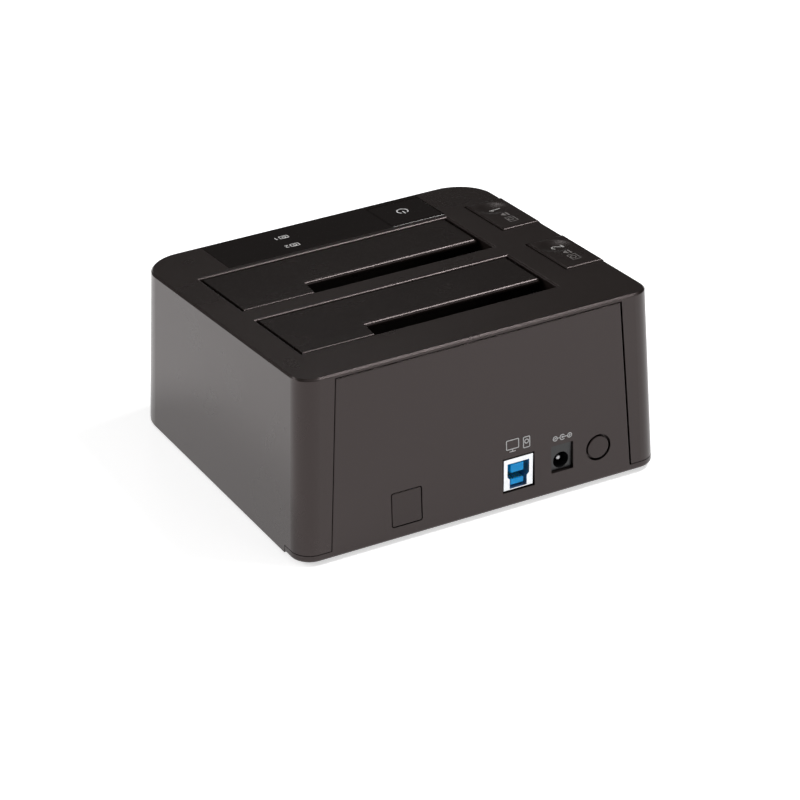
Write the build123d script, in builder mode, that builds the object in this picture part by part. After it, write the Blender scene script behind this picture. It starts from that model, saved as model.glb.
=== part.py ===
"""Two-bay docking station for 3.5 and 2.5 inch drives, as an assembly of separate pieces.

Frame: the origin is the middle of the footprint on the table, +Z up. The indicator strip and
the power key are at the front (-Y), the sockets at the rear (+Y), the eject buttons at -X.
All lengths are in millimetres and all angles in degrees.
"""
import math
import os

from build123d import *

# Case: a drafted box whose deck slopes down towards the front
case_width = 148.0
case_depth = 135.0
case_height = 70.8
wall_draft = 2.5
top_slope = 4.5
rear_corner_radius = 7.6
front_corner_radius = 18.5
top_bevel = 0.7
top_bevel_rounding = 0.18
wall = 2.2
deck = 2.4

# Gaps that more than one piece uses
clearance = 0.3
running_clearance = 0.05
seat_gap = 0.01
key_gap = 0.45
overrun = 4.0

# Feet
foot_projection = 1.5
foot_recess = 0.8
foot_radius = 6.0
foot_edge = 0.5
foot_inset_x = 22.0
foot_inset_y = 21.5

# Base tray, with the rear rim and the upstanding rear panel
tray_floor = 2.4
rim_height = 2.8
rim_rounding = 1.3
rim_reach = 12.0
panel_wall = 1.8
panel_lintel = 1.9
panel_gap = 0.45
panel_gap_shift = 0.12
panel_inset_top = 16.7
panel_inset_bottom = 12.4
panel_edge = 0.35

# Drive bays: what the case leaves between the lands round them
bay_button_land = 29.6
bay_side_land = 14.9
bay_front_land = 30.1
bay_rear_land = 24.8
bay_partition = 9.9
bay_rim_radius = 0.8
throat_depth = 7.0
throat_wall = 1.4
slot_land = 30.6
slot_depth = 10.4
slot_slant = 1.2

# Flap doors and their hinges
flap_gap = 0.9
flap_hinge_gap = 1.3
flap_thickness = 1.8
flap_sink = 0.2
flap_edge = 0.6
flap_notch_edge = 1.4
flap_corner = 1.0
flap_rib_height = 1.4
flap_rib_width = 1.4
flap_rib_shares = (0.2, 0.5, 0.8)
hinge_drop = 3.0
hinge_pin_radius = 0.9
knuckle_radius = 2.2
knuckle_length = 9.0
lug_length = 3.0
lug_width = 5.6
hinge_spring_turns = 8
hinge_spring_wire = 0.4
hinge_spring_pitch = 0.46
hinge_spring_radius = 1.25
hinge_spring_leg = 7.0
hinge_spring_room = 0.3
stop_width = 5.0
stop_reach = 1.5
stop_thickness = 1.2
stop_shares = (0.25, 0.8)

# Indicator strip and power key
strip_margin = 28.5
strip_width = 27.4
strip_leg = 9.0
strip_thickness = 1.2
strip_gap = 0.12
key_width = 22.4
key_setback = 5.9
key_thickness = 1.8
key_flange = 0.9
key_stem_radius = 2.0
key_seam = 0.3
key_edge = 0.2

# Front board under the strip
front_board_drop = 9.6
front_board_thickness = 1.2
front_board_left = 7.0
front_board_right = 1.5
front_board_setback = 7.5
front_board_width = 11.5
front_post_radius = 2.6
front_post_insets = (3.0, 5.1, 4.0)
front_post_setback = 13.5
switch_size = 6.0
switch_height = 3.4
switch_setback = 14.5
plunger_radius = 1.7
plunger_rise = 1.6
plunger_depth = 1.0
plunger_room = 2.0
led_radius = 1.5
led_height = 2.6
led_inset = 25.0
led_setbacks = (10.7, 16.5)
lamp_inset = 2.5
lamp_setback = 9.5

# Eject buttons
button_width = 18.4
button_length = 28.1
button_shift = -8.0
button_proud = 0.35
button_wall = 1.8
button_side = 6.0
button_lip = 1.4
button_lip_depth = 14.0
button_edge = 0.6
button_window_edge = 0.5
button_travel = 3.0
dish_radius = 30.0
dish_depth = 0.58
dish_blend = 10.0
dish_shift_x = 0.4
dish_shift_y = -6.5
leg_side_inset = 11.0
leg_thickness = 2.0
leg_width = 6.0
leg_inset = 4.7
button_post_radius = 1.4
button_post_length = 8.0
button_spring_inset = 13.3
button_spring_radius = 2.5
button_spring_wire = 0.6
button_spring_turns = 7
button_spring_room = 0.35
shelf_post_length = 4.0

# Ejector levers
lever_pivot_inset = 8.1
lever_pivot_height = 20.0
lever_pin_radius = 1.0
lever_knuckle_radius = 2.4
lever_thickness = 2.4
lever_width = 12.0
lever_setback = 10.0
lever_outer_arm = 13.5
lever_inner_arm = 14.0
lever_tip_thickness = 3.5
lever_tip_sink = 0.3
ear_wall = 2.0
ear_width = 5.0
lever_slot_room = 1.9

# Drive cage
cage_wall = 1.6
cage_floor_height = 24.2
cage_floor = 2.0
cage_top_drop = 8.5
cage_tab = 7.0
cage_tab_radius = 3.6
cage_tab_inset = 7.1
cage_front_tab_inset = 36.4
cage_rear_tab_inset = 14.4
shelf_drop = 20.0
shelf_wall = 2.0
window_margin = 1.2
window_drop = 20.0
cage_foot_radius = 2.6

# Main board, hung under the cage, with the sockets on its underside
board_height = 19.0
board_thickness = 1.6
board_left_inset = 6.8
board_right_inset = 3.1
board_front_reach = 19.3
board_rear_inset = 4.7
board_screw_insets = (3.6, 5.0)
board_screw_front_inset = 6.0
board_screw_rear_reach = 8.3

# Drive sockets on the board
drive_edge_to_socket = 30.1
drive_face_to_socket = 3.5
drive_play = 0.9
sata_length = 42.0
sata_width = 6.4
sata_rise = 5.2
sata_wall = 1.3
sata_tongue = 1.6
sata_depth = 5.0
sata_tongue_shares = ((-0.27, 0.28), (0.17, 0.54))
sata_contact_counts = (7, 15)
sata_contact_width = 0.8
sata_contact_thickness = 0.15
sata_contact_length = 3.6

# USB socket
usb_dc_pitch = 18.2
usb_width = 12.0
usb_height = 12.5
usb_length = 16.5
usb_recess = 0.3
usb_gap = 0.6
usb_mouth_width = 9.0
usb_neck_width = 7.1
usb_mouth_height = 5.4
usb_mouth_chamfer = 1.0
usb_neck_height = 3.9
usb_bottom_wall = 0.35
usb_mouth_depth = 9.5
usb_tongue_width = 5.2
usb_tongue_height = 3.2
usb_tongue_setback = 0.9
usb_low_tongue_height = 2.0
usb_tongue_rise = 5.95
usb_low_tongue_rise = 1.05
usb_pin_width = 0.6
usb_pin_thickness = 0.12

# Power socket
dc_blank_pitch = 15.2
dc_width = 8.8
dc_body_height = 10.3
dc_length = 13.6
dc_hole_radius = 3.2
dc_hole_drop = 6.55
dc_hole_depth = 9.5
dc_pin_radius = 1.0
dc_pin_setback = 1.6
dc_recess = 1.1
dc_gap_x = 0.2
dc_gap_z = 0.3

# Blanking plugs of the rear panel
square_inset = 26.06
square_height = 11.9
square_width = 11.8
square_tall = 13.15
square_corner = 0.6
square_gap = 0.35
round_inset = 9.4
round_height = 13.75
round_radius = 4.35
round_gap = 0.85
plug_edge = 0.3
plug_flange = 1.2
plug_flange_wall = 0.8

# Fasteners and bosses
screw_radius = 1.3
screw_head_radius = 2.6
screw_head_height = 1.4
case_screw_length = 12.0
small_screw_radius = 0.9
small_head_radius = 1.8
small_head_height = 1.0
small_screw_length = 6.0
boss_radius = 4.0
case_screw_inset = 11.0
case_screw_front_insets = ((11.0, 20.5), (13.5, 15.5))
case_screw_rear_inset = 15.0
cage_boss_radius = 3.2

# Components on the main board
chip_size = 14.0
chip_height = 1.3
chip_right_inset = 44.0
chip_front_inset = 38.0
sink_size = 20.0
sink_base = 1.6
sink_height = 7.0
sink_fins = 6
sink_fin_wall = 1.1
can_radius = 3.15
can_height = 7.7
can_insets = ((17.6, 22.8), (7.6, 22.8), (12.6, 31.8))
coil_size = 6.6
coil_height = 3.0
coil_insets = ((16.0, 16.8), (26.0, 16.8))

# Flat lead between the two boards, and its sockets
lead_inset = 17.5
lead_width = 10.0
lead_thickness = 0.8
lead_setback = 16.0
lead_bend_share = 0.6
lead_board_inset = 7.0
lead_socket_height = 2.4
lead_socket_length = 5.0

tan_draft = math.tan(math.radians(wall_draft))
tan_slope = math.tan(math.radians(top_slope))
cos_slope = math.cos(math.radians(top_slope))
sin_slope = math.sin(math.radians(top_slope))
case_floor = foot_projection
deck_rear_y = case_depth / 2 - case_height * tan_draft
deck_zero = case_floor + case_height - deck_rear_y * tan_slope
deck_plane = Plane(origin=(0, 0, deck_zero), x_dir=(1, 0, 0), z_dir=(0, -sin_slope, cos_slope))
deck_axis = Axis((0, 0, deck_zero), deck_plane.z_dir)
floor_top = case_floor + cage_floor_height + cage_floor
board_under = case_floor + board_height
board_top = board_under + board_thickness
tray_top = case_floor + tray_floor

# Places across the case, from its sides at the floor
left_side = -case_width / 2
right_side = case_width / 2
front_side = -case_depth / 2
rear_side = case_depth / 2
corner_y = rear_side - rear_corner_radius
rim_y = rear_side - rim_reach
foot_spacing_x = case_width - 2 * foot_inset_x
foot_spacing_y = case_depth - 2 * foot_inset_y
bay_end_x = left_side + bay_button_land
bay_far_x = right_side - bay_side_land
bay_length = bay_far_x - bay_end_x
bay_centre_x = (bay_end_x + bay_far_x) / 2
bay_width = (case_depth - bay_front_land - bay_rear_land - bay_partition) / 2
front_bay_y = front_side + bay_front_land + bay_width / 2
bay_centres = (front_bay_y, front_bay_y + bay_width + bay_partition)
slot_end_x = bay_far_x - slot_land
button_inner_x = left_side + button_width
leg_x = left_side + leg_side_inset
button_spring_x = left_side + button_spring_inset
lever_pivot_x = bay_end_x - lever_pivot_inset
socket_x = bay_end_x + drive_play + drive_edge_to_socket

# Places in the front land: the strip, the power key and the front board
strip_right_x = left_side + strip_margin
strip_near_y = front_side + strip_width
key_front_y = front_side + key_setback
key_end_x = strip_right_x + key_width
front_board_left_x = strip_right_x - front_board_left
front_board_right_x = -strip_right_x + front_board_right
front_board_front_y = front_side + front_board_setback
front_board_rear_y = front_board_front_y + front_board_width
front_post_xs = (
    front_board_left_x + front_post_insets[0],
    key_end_x + front_post_insets[1],
    front_board_right_x - front_post_insets[2])
front_post_y = front_side + front_post_setback
switch_y = front_side + switch_setback
led_x = -strip_right_x - led_inset
led_ys = [front_side + setback for setback in led_setbacks]
lamp_x = key_end_x + lamp_inset
lamp_y = front_side + lamp_setback

# Places on the rear panel, from its slanting sides
panel_half_top = case_width / 2 - panel_inset_top
panel_half_bottom = case_width / 2 - panel_inset_bottom
round_x = -panel_half_top + round_inset
dc_x = round_x + dc_blank_pitch
usb_x = dc_x + usb_dc_pitch
square_x = panel_half_top - square_inset

os.makedirs("parts", exist_ok=True)


def finish(part, label):
    """Name a finished piece and write it to its own file."""
    part.label = label
    export_step(part, f"parts/{label}.step")


def deck_z(y, drop=0.0):
    """Height above the table of the surface that lies drop under the deck."""
    return deck_zero + y * tan_slope - drop


def along_deck(y):
    """Place along the sloping deck that is at y in plan."""
    return y / cos_slope


def rear_y(z):
    """Outer face of the rear wall at height z."""
    return case_depth / 2 - (z - case_floor) * tan_draft


def side_x(z):
    """Outer face of the +X wall at height z."""
    return case_width / 2 - (z - case_floor) * tan_draft


def button_y(bay):
    """Middle of the eject button that serves a bay."""
    return bay_centres[bay] + button_shift


def near_y(bay):
    """Wall of a bay that is nearest the rear of the case."""
    return bay_centres[bay] + bay_width / 2


def far_y(bay):
    """Wall of a bay that is nearest the front of the case."""
    return bay_centres[bay] - bay_width / 2


def socket_y(bay):
    """Middle of the drive socket of a bay."""
    return near_y(bay) - drive_play - drive_face_to_socket


# Places on and round the main board
board_left_x = bay_end_x + board_left_inset
board_right_x = bay_far_x - board_right_inset
board_front_y = socket_y(0) - board_front_reach
board_rear_y = rear_side - board_rear_inset
board_screw_xs = (board_left_x + board_screw_insets[0], board_right_x - board_screw_insets[1])
board_screw_ys = (board_front_y + board_screw_front_inset, socket_y(1) - board_screw_rear_reach)
chip_x = board_right_x - chip_right_inset
chip_y = board_front_y + chip_front_inset
can_places = [(board_left_x + x, board_rear_y - y) for x, y in can_insets]
coil_places = [(board_right_x - x, board_rear_y - y) for x, y in coil_insets]
lead_x = -strip_right_x - lead_inset
lead_drop_y = front_side + lead_setback
lead_end_y = board_front_y + lead_board_inset
cage_front_tab_xs = (bay_end_x + cage_front_tab_inset, bay_far_x - cage_tab_inset)
cage_rear_tab_xs = (bay_end_x + cage_rear_tab_inset, bay_far_x - cage_tab_inset)
case_screw_places = (
    (right_side - case_screw_front_insets[0][0], front_side + case_screw_front_insets[0][1]),
    (left_side + case_screw_front_insets[1][0], front_side + case_screw_front_insets[1][1]),
    (right_side - case_screw_inset, rear_side - case_screw_rear_inset),
    (left_side + case_screw_inset, rear_side - case_screw_rear_inset))


def box_between(low, high):
    """Plain block between two opposite corners."""
    with BuildPart() as block:
        with BuildSketch(Plane.XY.offset(low[2])):
            with Locations(((low[0] + high[0]) / 2, (low[1] + high[1]) / 2)):
                Rectangle(high[0] - low[0], high[1] - low[1])
        extrude(amount=high[2] - low[2])
    return block.part


def above_deck_level(low, high, drop):
    """Block over a plan rectangle, whose foot is parallel to the deck and drop under it."""
    with BuildPart() as block:
        with BuildSketch(deck_plane.offset(-drop)):
            with Locations(((low[0] + high[0]) / 2, along_deck((low[1] + high[1]) / 2))):
                Rectangle(high[0] - low[0], along_deck(high[1] - low[1]))
        extrude(amount=drop + overrun)
    return block.part


def case_form(inset, drop, edged):
    """Drafted outline of the case, moved in by inset, under a deck lowered by drop."""
    with BuildPart() as form:
        with BuildSketch(Plane.XY.offset(case_floor)) as outline:
            Rectangle(case_width - 2 * inset, case_depth - 2 * inset)
            fillet(outline.vertices().group_by(Axis.Y)[0], front_corner_radius - inset)
        extrude(amount=case_height + overrun, taper=wall_draft)
        uprights = [edge for edge in form.edges() if edge.bounding_box().size.Z > case_height / 2]
        fillet([edge for edge in uprights if edge.center().Y > 0], rear_corner_radius - inset)
        split(bisect_by=deck_plane.offset(-drop), keep=Keep.BOTTOM)
        if edged:
            bevel = top_bevel - inset * (2 - math.sqrt(2))
            chamfer(form.faces().sort_by(Axis.Z)[-1].edges(), bevel)
            under = deck_plane.offset(-drop - 2 * bevel)
            rims = [edge for edge in form.edges() if under.to_local_coords(edge.center()).Z > 0]
            along = [edge for edge in rims if edge.bounding_box().size.Z < bevel / 2 or edge.length > wall]
            fillet(along, top_bevel_rounding - inset)
    return form.part


def hinge_point(bay, x):
    """Point on the hinge axis of a bay's flap."""
    set_back = along_deck(far_y(bay)) + flap_hinge_gap + knuckle_radius
    return deck_plane.from_local_coords((x, set_back, -flap_sink - hinge_drop))


def hinge_plane(bay, x):
    """Plane across the hinge axis, with its x along the deck and its y square to the deck."""
    return Plane(origin=hinge_point(bay, x), x_dir=(0, cos_slope, sin_slope), z_dir=(1, 0, 0))


def rod_between(start, end, radius):
    """Round rod from one point to another."""
    span = Vector(*end) - Vector(*start)
    with BuildPart() as rod:
        with BuildSketch(Plane(origin=start, z_dir=span)):
            Circle(radius)
        extrude(amount=span.length)
    return rod.part


outer_form = case_form(0.0, 0.0, True)
inner_form = case_form(wall, deck, False)
middle_form = case_form(wall / 2, deck / 2, False)


def strip_skin(depth, low_x, high_x, low_y, high_y):
    """Part of the case's outer skin, depth thick, that lies over the strip's place."""
    core = case_form(depth, depth, False)
    with BuildPart() as skin:
        add(outer_form)
        add(core, mode=Mode.SUBTRACT)
        add(above_deck_level((low_x, low_y), (high_x, high_y), strip_leg), mode=Mode.INTERSECT)
    return skin.part


def panel_opening(gap, shift=0.0):
    """Prism of the rear panel's outline, larger by gap on its sides and top, shifted to -X."""
    low = case_floor - overrun
    high = case_floor + case_height - panel_lintel + gap
    lean = (panel_half_bottom - panel_half_top) / (case_height - panel_lintel)
    half_low = panel_half_bottom + lean * overrun + gap
    half_high = panel_half_top + gap
    with BuildPart() as prism:
        with BuildSketch(Plane.XZ.offset(-corner_y)):
            with BuildLine():
                foot = ((-half_low - shift, low), (half_low - shift, low))
                head = ((half_high - shift, high), (-half_high - shift, high))
                Polyline(*foot, *head, close=True)
            make_face()
        extrude(amount=-case_depth / 2)
    return prism.part


def cage_bosses():
    """Places of the bosses that carry the cage: in front of it and behind it."""
    front = far_y(0) - cage_wall - cage_tab / 2
    rear = near_y(1) + cage_wall + cage_tab / 2
    return [(x, front) for x in cage_front_tab_xs] + [(x, rear) for x in cage_rear_tab_xs]


def make_shell_posts():
    """Posts that hang from the deck: for the case screws, the cage and the front board."""
    with BuildPart() as posts:
        with BuildSketch(Plane.XY.offset(tray_top + clearance)):
            with Locations(*case_screw_places):
                Circle(boss_radius)
        extrude(amount=case_height)
        with BuildSketch(Plane.XY.offset(floor_top + clearance)):
            with Locations(*cage_bosses()):
                Circle(cage_boss_radius)
        extrude(amount=case_height)
        with BuildSketch(deck_plane.offset(-front_board_drop)):
            with Locations(*[(x, along_deck(front_post_y)) for x in front_post_xs]):
                Circle(front_post_radius)
        extrude(amount=front_board_drop)
        add(middle_form, mode=Mode.INTERSECT)
    return posts.part


def make_throats():
    """Skirts under the deck round the open end of each bay, and the lugs of the hinge pins."""
    with BuildPart() as throats:
        for bay in range(len(bay_centres)):
            low = (bay_end_x - throat_wall, far_y(bay))
            high = (slot_end_x, near_y(bay) + throat_wall)
            with BuildSketch(deck_plane.offset(-throat_depth)):
                with Locations(((low[0] + high[0]) / 2, along_deck((low[1] + high[1]) / 2))):
                    Rectangle(high[0] - low[0], along_deck(high[1] - low[1]))
            extrude(amount=throat_depth - deck / 2)
            for start in (bay_end_x - lug_length, bay_far_x):
                with BuildSketch(hinge_plane(bay, start)):
                    with Locations((0, (hinge_drop - knuckle_radius) / 2)):
                        Rectangle(lug_width, hinge_drop + knuckle_radius)
                extrude(amount=lug_length)
        add(middle_form, mode=Mode.INTERSECT)
    return throats.part


def make_top_shell():
    """Casing: walls, sloping deck, bay mouths, button windows and the bosses inside."""
    posts = make_shell_posts()
    throats = make_throats()
    strip_place = strip_skin(
        strip_thickness + strip_gap, strip_right_x, -strip_right_x, -case_depth / 2 - overrun, strip_near_y)
    with BuildPart() as top_shell:
        add(outer_form)
        add(inner_form, mode=Mode.SUBTRACT)
        add(throats)
        for bay in range(len(bay_centres)):
            mouth = ((bay_end_x, far_y(bay), floor_top), (bay_far_x, near_y(bay), deck_z(case_depth)))
            add(box_between(*mouth), mode=Mode.SUBTRACT)
        for bay in range(len(bay_centres)):
            reach = button_length / 2 + key_gap
            low = (-case_width / 2 - overrun, button_y(bay) - reach)
            high = (button_inner_x + key_gap, button_y(bay) + reach)
            add(above_deck_level(low, high, button_side + button_travel + key_gap), mode=Mode.SUBTRACT)
        deck_face = top_shell.faces().sort_by(deck_axis)[-1]
        fillet([edge for rim in deck_face.inner_wires() for edge in rim.edges()], bay_rim_radius)
        deck_face = top_shell.faces().sort_by(deck_axis)[-1]
        outline = [edge for edge in deck_face.outer_wire().edges() if button_spring_x < edge.center().X < 0]
        fillet([edge for edge in outline if edge.center().Y > strip_near_y], button_window_edge)
        add(posts)
        for bay in range(len(bay_centres)):
            start = hinge_point(bay, bay_end_x - lug_length - overrun)
            end = hinge_point(bay, bay_far_x + lug_length + overrun)
            add(rod_between(start, end, hinge_pin_radius + running_clearance), mode=Mode.SUBTRACT)
        add(strip_place, mode=Mode.SUBTRACT)
        key_place = ((strip_right_x, key_front_y), (key_end_x, strip_near_y))
        add(above_deck_level(*key_place, deck + overrun / 2), mode=Mode.SUBTRACT)
        add(panel_opening(panel_gap, panel_gap_shift), mode=Mode.SUBTRACT)
        rim_low = (-case_width, rim_y - clearance, 0)
        rim_high = (case_width, case_depth, case_floor + rim_height + clearance)
        add(box_between(rim_low, rim_high), mode=Mode.SUBTRACT)
        with Locations(*[(x, y, tray_top + clearance) for x, y in case_screw_places]):
            Cylinder(screw_radius, case_screw_length, mode=Mode.SUBTRACT)
        with Locations(*[(x, y, floor_top + clearance) for x, y in cage_bosses()]):
            Cylinder(screw_radius, case_screw_length, mode=Mode.SUBTRACT)
        front_pilots = [(x, along_deck(front_post_y), -front_board_drop) for x in front_post_xs]
        with Locations(deck_plane):
            with Locations(*front_pilots):
                Cylinder(small_screw_radius, small_screw_length, mode=Mode.SUBTRACT)
    finish(top_shell.part, "top_shell")


def panel_prism(x, height, width, tall, corner):
    """Prism through the rear panel over a rounded rectangle."""
    with BuildPart() as prism:
        with BuildSketch(Plane.XZ.offset(-corner_y)):
            with Locations((x, case_floor + height)):
                if corner > 0:
                    RectangleRounded(width, tall, corner)
                else:
                    Rectangle(width, tall)
        extrude(amount=-case_depth / 2)
    return prism.part


def round_prism(x, height, radius):
    """Prism through the rear panel over a disc."""
    with BuildPart() as prism:
        with BuildSketch(Plane.XZ.offset(-corner_y)):
            with Locations((x, case_floor + height)):
                Circle(radius)
        extrude(amount=-case_depth / 2)
    return prism.part


def rear_skin(depth, prism, inset=0.0):
    """Slab of the rear wall that lies between two depths, inside a prism."""
    outer = outer_form if inset == 0 else case_form(inset, inset, False)
    inner = case_form(inset + depth, 0.0, False)
    with BuildPart() as skin:
        add(outer)
        add(inner, mode=Mode.SUBTRACT)
        add(prism, mode=Mode.INTERSECT)
    return skin.part


def make_base_tray():
    """Floor of the case, with the rim behind the side walls and the upstanding rear panel."""
    floor_form = case_form(wall + clearance, wall + clearance, False)
    with BuildPart() as floor:
        add(floor_form)
        floor_space = ((-case_width, -case_depth, 0), (case_width, rim_y + overrun, tray_top))
        add(box_between(*floor_space), mode=Mode.INTERSECT)
    with BuildPart() as rim:
        add(outer_form)
        rim_space = ((-case_width, rim_y, 0), (case_width, case_depth, case_floor + rim_height))
        add(box_between(*rim_space), mode=Mode.INTERSECT)
        lower = rim.faces().sort_by(Axis.Z)[0].edges().sort_by(Axis.Y)
        fillet(lower[1:], rim_rounding)
        hollow = ((-case_width, 0, tray_top), (case_width, case_depth, case_height))
        with BuildPart(mode=Mode.PRIVATE) as pocket:
            add(inner_form)
            add(box_between(*hollow), mode=Mode.INTERSECT)
        add(pocket.part, mode=Mode.SUBTRACT)
    with BuildPart() as panel:
        add(rear_skin(panel_wall, panel_opening(0.0)))
        rim_top = case_floor + rim_height
        over_rim = ((-case_width, 0, rim_top), (case_width, case_depth, case_height + overrun))
        add(box_between(*over_rim), mode=Mode.INTERSECT)
        outer_face = [face for face in panel.faces() if face.normal_at().Y > cos_slope / 2][0]
        fillet(outer_face.edges().sort_by(Axis.Z)[1:], panel_edge)
    usb_middle = board_height - usb_height / 2
    dc_middle = board_height - dc_body_height / 2
    with BuildPart() as base_tray:
        add(floor.part)
        add(rim.part)
        add(panel.part)
        usb_size = (usb_width + 2 * usb_gap, usb_height + 2 * usb_gap)
        add(panel_prism(usb_x, usb_middle, *usb_size, 0), mode=Mode.SUBTRACT)
        dc_size = (dc_width + 2 * dc_gap_x, dc_body_height + 2 * dc_gap_z)
        add(panel_prism(dc_x, dc_middle, *dc_size, 0), mode=Mode.SUBTRACT)
        square_size = (square_width + 2 * square_gap, square_tall + 2 * square_gap)
        square_bore = panel_prism(square_x, square_height, *square_size, square_corner + square_gap)
        add(square_bore, mode=Mode.SUBTRACT)
        add(round_prism(round_x, round_height, round_radius + round_gap), mode=Mode.SUBTRACT)
        with Locations(*[(x, y, case_floor) for x, y in case_screw_places]):
            Cylinder(screw_radius + clearance, tray_floor + overrun, mode=Mode.SUBTRACT)
            Cylinder(screw_head_radius + clearance, 2 * (screw_head_height + clearance), mode=Mode.SUBTRACT)
        with Locations((0, 0, case_floor)):
            with GridLocations(foot_spacing_x, foot_spacing_y, 2, 2):
                Cylinder(foot_radius + running_clearance, 2 * foot_recess, mode=Mode.SUBTRACT)
    finish(base_tray.part, "base_tray")


def make_feet():
    """Four round rubber feet, set into the underside of the tray."""
    with BuildPart() as feet:
        with BuildSketch():
            with GridLocations(foot_spacing_x, foot_spacing_y, 2, 2):
                Circle(foot_radius)
        extrude(amount=foot_projection + foot_recess)
        fillet(feet.edges().group_by(Axis.Z)[0], foot_edge)
    finish(feet.part, "feet")


def make_plugs():
    """Two blanking plugs that close the unused openings of the rear panel."""
    back = plug_flange_wall + running_clearance
    flange_size = (square_width + 2 * plug_flange, square_tall + 2 * plug_flange)
    shapes = {
        "square_blank": (panel_prism(square_x, square_height, square_width, square_tall, square_corner),
                         panel_prism(square_x, square_height, *flange_size, square_corner)),
        "round_blank": (round_prism(round_x, round_height, round_radius),
                        round_prism(round_x, round_height, round_radius + plug_flange)),
    }
    for label, (front, flange) in shapes.items():
        face_slab = rear_skin(panel_wall + back, front)
        flange_slab = rear_skin(plug_flange_wall, flange, panel_wall + running_clearance)
        with BuildPart() as plug:
            add(face_slab)
            rim_edges = plug.faces().sort_by(Axis.Y)[-1].edges()
            fillet(rim_edges, plug_edge)
            add(flange_slab)
        finish(plug.part, label)


def make_lens_strip():
    """Smoked indicator strip, let into the deck and folded over its front edge."""
    low_x = strip_right_x + strip_gap
    skin = strip_skin(strip_thickness, low_x, -low_x, -case_depth / 2 - overrun, strip_near_y - strip_gap)
    key_low = (strip_right_x - overrun, key_front_y)
    key_high = (key_end_x, strip_near_y + overrun)
    with BuildPart() as lens_strip:
        add(skin)
        add(above_deck_level(key_low, key_high, deck + overrun / 2), mode=Mode.SUBTRACT)
    finish(lens_strip.part, "lens_strip")


def make_power_key():
    """Broad key at the end of the strip, with guide skirt, catches and a stem for its switch."""
    low_x = strip_right_x + key_seam
    high_x = key_end_x - key_seam
    low_y = along_deck(key_front_y + key_seam)
    high_y = along_deck(strip_near_y - key_seam)
    middle = ((low_x + high_x) / 2, (low_y + high_y) / 2)
    size = (high_x - low_x, high_y - low_y)
    catch_drop = deck + clearance
    stem_foot = front_board_drop - switch_height - plunger_rise
    with BuildPart() as power_key:
        with BuildSketch(deck_plane):
            with Locations(middle):
                Rectangle(*size)
        extrude(amount=-key_thickness)
        with BuildSketch(deck_plane):
            with Locations(middle):
                Rectangle(*size)
                Rectangle(size[0] - 2 * strip_thickness, size[1] - 2 * strip_thickness, mode=Mode.SUBTRACT)
        extrude(amount=-catch_drop - strip_thickness)
        with BuildSketch(deck_plane.offset(-catch_drop)):
            with Locations(middle):
                Rectangle(size[0] + 2 * key_flange, size[1] / 2)
                Rectangle(size[0] - 2 * strip_thickness, size[1], mode=Mode.SUBTRACT)
        extrude(amount=-strip_thickness)
        with BuildSketch(deck_plane.offset(-key_thickness / 2)):
            with Locations((middle[0], along_deck(switch_y))):
                Circle(key_stem_radius)
        extrude(amount=key_thickness / 2 - stem_foot)
        fillet(power_key.faces().sort_by(deck_axis)[-1].edges(), key_edge)
    finish(power_key.part, "power_key")


def make_front_board():
    """Small circuit board under the strip, with its switch, lamps and screws."""
    top = deck_plane.offset(-front_board_drop)
    key_x = strip_right_x + key_width / 2
    middle_x = (front_board_left_x + front_board_right_x) / 2
    middle_y = (front_board_front_y + front_board_rear_y) / 2
    posts = [(x, along_deck(front_post_y)) for x in front_post_xs]
    with BuildPart() as front_board:
        with BuildSketch(top):
            with Locations((middle_x, along_deck(middle_y))):
                Rectangle(front_board_right_x - front_board_left_x, front_board_rear_y - front_board_front_y)
            with Locations(*posts):
                Circle(small_screw_radius + clearance / 2, mode=Mode.SUBTRACT)
        extrude(amount=-front_board_thickness)
    finish(front_board.part, "front_board")

    with BuildPart() as front_board_screws:
        with BuildSketch(top.offset(-front_board_thickness)):
            with Locations(*posts):
                Circle(small_head_radius)
        extrude(amount=-small_head_height)
        with BuildSketch(top.offset(-front_board_thickness)):
            with Locations(*posts):
                Circle(small_screw_radius)
        extrude(amount=front_board_thickness + small_screw_length / 2 - running_clearance)
    finish(front_board_screws.part, "front_board_screws")

    with BuildPart() as tact_switch:
        with BuildSketch(top):
            with Locations((key_x, along_deck(switch_y))):
                Rectangle(switch_size, switch_size)
        extrude(amount=switch_height)
        with BuildSketch(top.offset(switch_height)):
            with Locations((key_x, along_deck(switch_y))):
                Circle(plunger_radius + running_clearance)
        extrude(amount=-plunger_room, mode=Mode.SUBTRACT)
    finish(tact_switch.part, "tact_switch")

    with BuildPart() as switch_plunger:
        with BuildSketch(top.offset(switch_height - plunger_depth)):
            with Locations((key_x, along_deck(switch_y))):
                Circle(plunger_radius)
        extrude(amount=plunger_depth + plunger_rise)
    finish(switch_plunger.part, "switch_plunger")

    with BuildPart() as status_leds:
        with BuildSketch(top):
            with Locations(*[(led_x, along_deck(y)) for y in led_ys], (lamp_x, along_deck(lamp_y))):
                Circle(led_radius)
        extrude(amount=led_height)
        fillet(status_leds.edges().filter_by(GeomType.CIRCLE).group_by(Axis.Z)[-1], led_radius / 2)
    finish(status_leds.part, "status_leds")


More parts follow.
